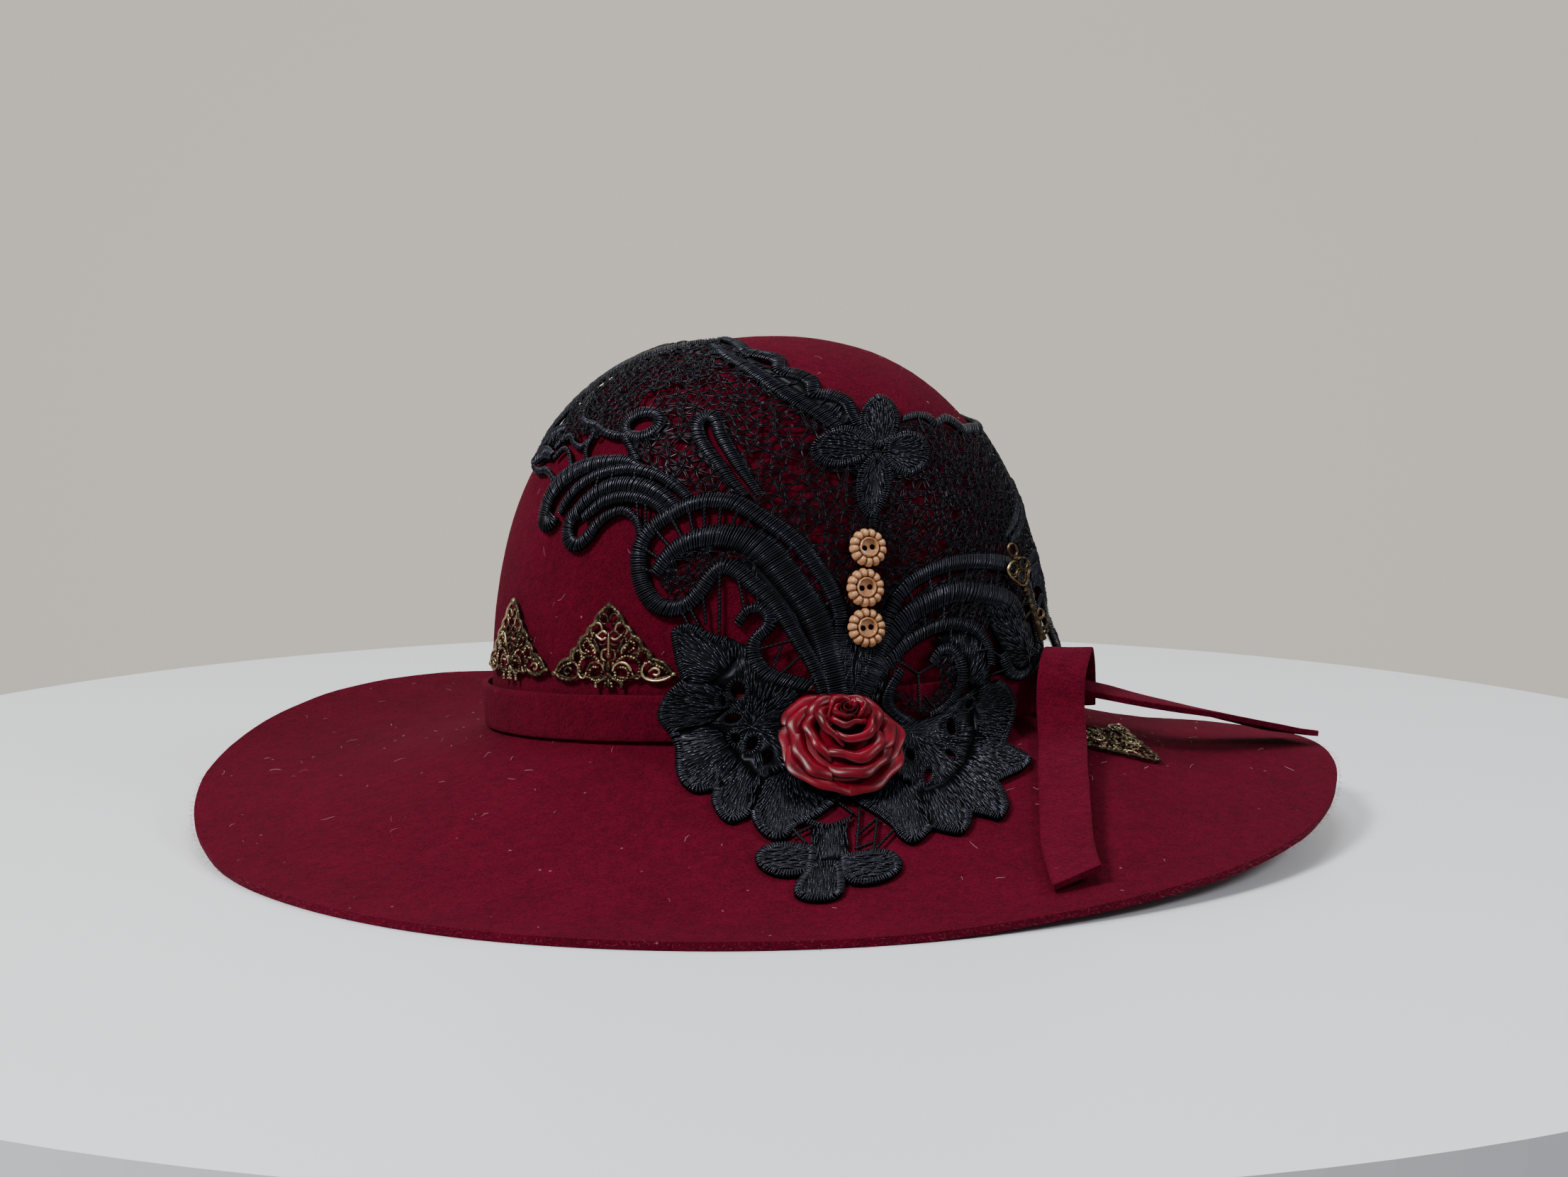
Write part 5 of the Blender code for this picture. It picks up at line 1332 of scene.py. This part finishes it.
def brass_material(name, dark, bright, scale):
    material, nodes, links, shader = new_material(name, {"Metallic": 1.0})
    wear = add_group(nodes, brass_wear, {"Dark": (*dark, 1), "Bright": (*bright, 1),
                                         "Scale": scale})
    links.new(wear.outputs["Color"], shader.inputs["Base Color"])
    links.new(wear.outputs["Rough"], shader.inputs["Roughness"])
    add_bump(nodes, links, wear.outputs["Height"], shader, 0.25, 0.0002)
    return material


stamped_brass = brass_material("stamped_antique_brass", (0.030, 0.022, 0.014),
                               (0.56, 0.44, 0.25), 1100.0)
WIRE_ANGLES = np.linspace(0, 2 * math.pi, 6, endpoint=False) + math.pi / 2
ROUND = np.array([(math.cos(a), math.sin(a)) for a in WIRE_ANGLES])
# One half, in millimetres from the middle and from the bottom: width of the wire and its run.
FILIGREE_WIRES = (
    (1.5, ((21.4, 4.6), (19.2, 7.6), (16.2, 9.2), (14.6, 9.4), (13.8, 11.8), (11.4, 13.2),
           (10.6, 15.6), (8.2, 17.0), (7.2, 19.2), (5.2, 20.6), (4.2, 23), (2.2, 25), (0, 26.8))),
    (1.0, ((21.4, 4.4), (18.6, 3.0), (15.4, 2.6), (12.6, 3.4), (11.4, 5.2), (12, 7.4),
           (14.4, 8.8))),
    (0.9, ((11.6, 5.2), (10.4, 3.4), (9.0, 3.6), (8.2, 5.2))),
    (0.9, ((9.6, 9.6), (10.4, 11.6), (12.2, 12.2), (13.6, 11.0), (13.4, 9.0))),
    (1.0, ((6.6, 13.4), (7.6, 15.8), (9.6, 15.8), (10.8, 13.8), (10, 11.6), (8, 11))),
    (0.9, ((2.2, 18.4), (3.0, 20.6), (5.2, 20.8), (6.6, 18.8), (5.8, 17))),
    (0.9, ((0.2, 21.2), (0.8, 23.2), (2.4, 23.8), (3.4, 22.4), (2.6, 20.8), (1.0, 20.6))),
    (1.1, ((1.4, 5.4), (2.2, 7.4), (4.4, 8.4), (6.6, 7.8), (8.0, 5.6))),
    (0.9, ((0.9, 8.8), (2.4, 9.8), (2.2, 12), (0.6, 12.6))),
    (1.2, ((3.2, 11.2), (4.0, 13.4), (5.4, 16.0))),
    (0.9, ((4.4, 11.6), (5.2, 13.2), (6.6, 14.4))),
    (0.9, ((0.6, 14.6), (2.0, 13.8), (3.4, 14.2))),
    (1.0, ((0.6, 17.4), (1.8, 18.4), (3.4, 17.6), (4.6, 16.2))),
    (1.0, ((0.8, 16.4), (2.2, 15.6), (3.8, 16.4), (4.8, 17.4))),
    (1.1, ((0.3, 5.0), (1.4, 3.4), (3.2, 2.6), (4.6, 1.4))),
    (1.0, ((13.6, 5.4), (15.4, 6.6), (17.2, 5.8), (16.4, 4.4), (15.0, 4.8))),
)
FILIGREE_BEADS = (
    (0.58, ((3.4, 8.8), (4.8, 10), (7, 10.4), (9.4, 9.6), (10.8, 7.6), (10.6, 5.4))),
    (0.50, ((2.4, 5.2), (2.8, 3.4), (4.6, 2.6), (6.6, 3.4), (7, 5.2), (5.8, 6.8), (3.6, 6.8))),
    (0.52, ((12.6, 8.2), (14.6, 8.0), (17.8, 6.8), (19.6, 5.2))),
    (0.50, ((10, 10.2), (11, 12), (12.6, 11.4))),
    (0.50, ((7.2, 11.8), (8.6, 12.6), (9.2, 14.2), (8, 15))),
    (0.50, ((4.8, 11.4), (5.8, 12.8), (6.4, 15.2), (5.4, 17.6))),
    (0.46, ((1.2, 0.8), (1.0, 2.2), (0.6, 3.8))),
    (0.62, ((4.6, 0.6), (4.6, 1.8))),
)
# Smooth drops: middle across and up, half width and half height.
FILIGREE_DROPS = (
    (0, 7.0, 1.0, 1.9), (0, 26.2, 1.5, 1.3), (21.6, 4.5, 1.3, 1.0), (-21.6, 4.5, 1.3, 1.0),
    (0, 14.4, 0.45, 3.6), (0, 4.4, 1.0, 0.9), (0, 1.8, 0.8, 1.8), (0, 10.6, 0.8, 1.0),
    (1.7, 7.4, 0.6, 1.3), (-1.7, 7.4, 0.6, 1.3))
FILIGREE_FRAME = (
    ((-21.4, 4.6), (-14.6, 9.2), (-10.6, 14.6), (-5.6, 20.4), (0, 26.6), (5.6, 20.4),
     (10.6, 14.6), (14.6, 9.2), (21.4, 4.6)),
    ((-21.4, 4.4), (-15, 3), (-10.8, 4.4), (-7, 3.4), (-2.4, 3.8), (2.4, 3.8), (7, 3.4),
     (10.8, 4.4), (15, 3), (21.4, 4.4)))
WIRE_LIFT, BEAD_LIFT, BASE_LIFT = 1.25, 1.35, 0.95  # millimetres off the felt
FILIGREE_TURNS = ((239.2, 0.903, 0), (209.4, 0.898, 0), (338.2, 1.180, 172))
for number, (azimuth, share, turn) in enumerate(FILIGREE_TURNS, 1):
    spin = math.radians(turn)

    def on_felt(x, y):
        east = (x * math.cos(spin) - y * math.sin(spin)) / 1000
        north = (x * math.sin(spin) + y * math.cos(spin)) / 1000
        spot = share_along(share, -north)
        around = azimuth + math.degrees(east / girth(spot))
        return felt_place(around, spot), felt_normal(around, spot)

    step = 1.5
    rows_x, rows_y = np.arange(-24, 24.1, step), np.arange(-2, 29.6, step)
    seat = np.array([[on_felt(x, y - 0.8) for x in rows_x] for y in rows_y], dtype=object)
    centre_grid = np.array([[tuple(p[0]) for p in row] for row in seat])
    normal_grid = np.array([[tuple(p[1]) for p in row] for row in seat])

    def laid(plan, lift):
        return in_grid(plan, lift, rows_x, rows_y, step, (centre_grid, normal_grid))

    store = new_store()
    for mirror in (1, -1):
        for width, run in FILIGREE_WIRES:
            line = smooth_run(np.array(run, float) * (mirror, 1), 0.55)
            taper = np.interp(np.linspace(0, 1, len(line)), (0, 0.15, 0.85, 1), (0.7, 1, 1, 0.7))
            ring = ROUND[None] * (taper * width / 2)[:, None, None] * (1.0, 0.85)
            add_tube(store, line, WIRE_LIFT, ring, laid)
        for size, run in FILIGREE_BEADS:
            spots = smooth_run(np.array(run, float) * (mirror, 1), size * 1.75)
            beads = np.stack([spots + (d * size, 0) for d in (-1, -0.7, 0, 0.7, 1)], axis=1)
            swell = np.array((0.12, 0.72, 1.0, 0.72, 0.12))
            add_tubes(store, beads, np.full(beads.shape[:2], BEAD_LIFT),
                      (ROUND[None] * (swell * size)[:, None, None])[None], laid=laid)
    for x, y, size_x, size_y in FILIGREE_DROPS:
        line = np.stack([np.full(7, float(x)), np.linspace(y - size_y, y + size_y, 7)], axis=-1)
        swell = np.sqrt(np.clip(1 - np.linspace(-1, 1, 7) ** 2, 0.02, 1))
        ring = ROUND[None] * (swell * size_x)[:, None, None] * (1.0, 0.6)
        add_tube(store, line, WIRE_LIFT, ring, laid)
    for run in FILIGREE_FRAME:
        line = smooth_run(run, 0.7)
        ring = np.repeat(ROUND[None], len(line), axis=0) * (0.55, 0.42)
        add_tube(store, line, BASE_LIFT, ring, laid)
    triangle = store_piece(f"brass_triangle_{number}", store, stamped_brass)
    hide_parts(f"filigree_{number}")

# ---------------------------------------------------------------- brass key
# A small cast antique brass key charm hangs at the right of the lace: a hanging eye, a pierced
# scrolled bow, a collar of beads, a shaft that widens downwards and a lobed bit.
cast_brass = brass_material("cast_antique_brass", (0.045, 0.032, 0.018), (0.50, 0.38, 0.19), 700.0)
key_top, key_foot = over_band(328.0, 0.698), over_band(333.9, 0.858)
key_middle = over_band(330.95, 0.778)
KEY_ROLL, KEY_LENGTH, KEY_CLEAR = 28, 0.034, 0.0012 + 0.00105 + 0.0006
across = over_band(331.45, 0.778) - over_band(330.45, 0.778)
out = (over_band(330.95, 0.782) - over_band(330.95, 0.774)).cross(across).normalized()
up = (key_top - key_foot).normalized()
face = Matrix.Rotation(math.radians(-KEY_ROLL), 3, up) @ (out - up * out.dot(up)).normalized()
key_place = Matrix((up.cross(face), up, face)).transposed().to_4x4()
key_place.translation = key_top + face * (
    max((key_middle - key_top).dot(face), 0.0) + KEY_CLEAR
    + 0.14 * KEY_LENGTH * math.sin(math.radians(KEY_ROLL)))
laid = in_frame(key_place)
store = new_store()
KEY_WIRES = (
    # width, closed, run
    (0.95, True, oval(0, -1.2, 1.75, 2.2, 0, 12)),
    (0.9, True, oval(-2.3, -7.0, 1.7, 1.9, 20, 10)),
    (0.9, True, oval(2.3, -7.0, 1.7, 1.9, -20, 10)),
    (0.8, True, oval(0, -10.6, 1.5, 2.0, 0, 10)),
    (1.0, False, ((0, -4.6), (-2.2, -4.8), (-4.2, -6.4), (-4.0, -9.0), (-2.6, -11.2),
                  (-1.2, -13.2), (0, -13.8))),
    (1.0, False, ((0, -4.6), (2.2, -4.8), (4.2, -6.4), (4.0, -9.0), (2.6, -11.2),
                  (1.2, -13.2), (0, -13.8))),
    (0.7, False, ((-3.6, -9.2), (-2.2, -9.6), (-1.4, -8.6), (0, -7.6))),
    (0.7, False, ((3.6, -9.2), (2.2, -9.6), (1.4, -8.6), (0, -7.6))),
    (0.7, False, ((0, -4.8), (0, -6.4), (-0.8, -7.4), (0, -8.6))),
    (1.1, False, ((0.9, -24.6), (2.4, -23.4), (3.5, -24.6), (3.0, -26.2), (1.0, -26.4))),
    (1.1, False, ((1.0, -27.0), (3.2, -26.6), (3.9, -28.2), (3.0, -29.8), (1.1, -29.6))),
    (1.0, False, ((1.0, -30.4), (2.6, -30.2), (2.8, -31.6), (1.1, -31.8))),
)
for width, closed, run in KEY_WIRES:
    line = smooth_run(run, 0.4, closed)
    ring = np.repeat(ROUND[None], len(line), axis=0) * (width / 2, width * 0.52)
    add_tube(store, line, 0, ring, laid)
TURNED_ANGLES = np.linspace(0, 2 * math.pi, 16, endpoint=False)
SIDES = np.array([(math.cos(a), math.sin(a)) for a in TURNED_ANGLES])
# The turned parts, the eye's neck and the shaft with its collar: height and radius.
shaft = ((-3.4, 0.6), (-3.7, 1.0), (-4.2, 1.1), (-4.6, 0.7), (-13.4, 0.7), (-14.2, 0.62),
         (-15.0, 0.7), (-15.3, 1.15), (-15.8, 1.2), (-16.1, 0.8), (-16.4, 0.8), (-16.7, 1.1),
         (-17.1, 1.1), (-17.4, 0.75), (-19, 0.78), (-22, 0.86), (-25, 0.98), (-28, 1.12),
         (-31, 1.28), (-32.8, 1.38), (-33.2, 1.42), (-33.4, 1.25), (-33.45, 0.6))
for part in (shaft[:4], shaft[5:]):
    line = np.array([(0.0, y) for y, radius in part])
    ring = SIDES[None] * np.array([radius for y, radius in part])[:, None, None]
    add_tube(store, line, 0, ring, laid)
key = store_piece("brass_key", store, cast_brass)
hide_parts("key_charm")
shade_by_angle(key, 60)

# ---------------------------------------------------------------- stray wool and lint
# Loose hairs: short burgundy fuzz along the cut edge of the brim, and a few pale curled fibres
# of lint that have settled on the felt.
def add_hairs(store, paths, radius):
    """Thin closed tubes along paths in space."""
    paths = np.array(paths)
    ahead = np.gradient(paths, axis=1)
    ahead /= np.maximum(np.linalg.norm(ahead, axis=2, keepdims=True), 1e-9)
    side = np.cross(ahead, np.array((0.31, 0.22, 0.92)))
    side /= np.maximum(np.linalg.norm(side, axis=2, keepdims=True), 1e-9)
    lift = np.cross(side, ahead)
    taper = np.interp(np.linspace(0, 1, paths.shape[1]), (0, 0.7, 1), (1, 0.9, 0.35)) * radius
    ring = (side[:, :, None] * PLY[None, None, :, :1] + lift[:, :, None] * PLY[None, None, :, 1:])
    place = paths[:, :, None] + ring * taper[None, :, None, None]
    add_rings(store, place, rng.random(len(place)), flip=True)


def hair_material(name, dark, light):
    material, nodes, links, shader = new_material(name, {"Roughness": 0.7})
    links.new(add_mix(nodes, links, add_tone(nodes), (*dark, 1.0), (*light, 1.0)),
              shader.inputs["Base Color"])
    return material


dice = np.random.default_rng(11)
FUZZ_HAIRS, LINT_HAIRS = 1500, 360
fuzz = new_store()
paths = []
for k in range(FUZZ_HAIRS):
    azimuth = 360 * (k + dice.random()) / FUZZ_HAIRS
    seat = felt_place(azimuth, 2.0 - 0.004 * dice.random())
    outward = Vector((seat.x, seat.y, 0)).normalized()
    heading = (outward + Vector((0, 0, 1)) * (dice.random() * 1.1 - 0.45)
               + outward.cross(Vector((0, 0, 1))) * (dice.random() - 0.5) * 1.6).normalized()
    length = 0.0006 + 0.0011 * dice.random()
    seat = seat - Vector((0, 0, 0.0022 * dice.random())) - outward * 0.0002
    bend = Vector(dice.random(3) - 0.5) * length
    path = [seat + heading * length * t + bend * t * t for t in (0, 0.35, 0.7, 1.0)]
    if min(p.z for p in path) > 0:
        paths.append([tuple(p) for p in path])
add_hairs(fuzz, paths, 0.000035)
brim_fuzz = store_piece("brim_fuzz", fuzz, hair_material("burgundy_hair", (0.10, 0.003, 0.015),
                                                          (0.34, 0.03, 0.07)))
lint_store = new_store()
paths = []
for k in range(LINT_HAIRS):
    azimuth = 360 * dice.random()
    share = 0.25 + 1.7 * dice.random()
    seat, out = felt_place(azimuth, share), felt_normal(azimuth, share)
    along = out.cross(Vector(dice.random(3) - 0.5)).normalized()
    across = out.cross(along)
    length = 0.0010 + 0.0040 * dice.random() ** 2
    curl = (dice.random() - 0.5) * 3.4
    path = []
    for t in np.linspace(0, 1, 7):
        bend = curl * t
        path.append(tuple(seat + along * (length * t * math.cos(bend * 0.5))
                          + across * (length * t * math.sin(bend)) * 0.6
                          + out * (0.00012 + 0.0005 * math.sin(t * math.pi) * dice.random())))
    paths.append(path)
add_hairs(lint_store, paths, 0.00004)
stray_lint = store_piece("stray_lint", lint_store, hair_material("pale_lint", (0.35, 0.10, 0.13),
                                                                 (0.75, 0.55, 0.55)))
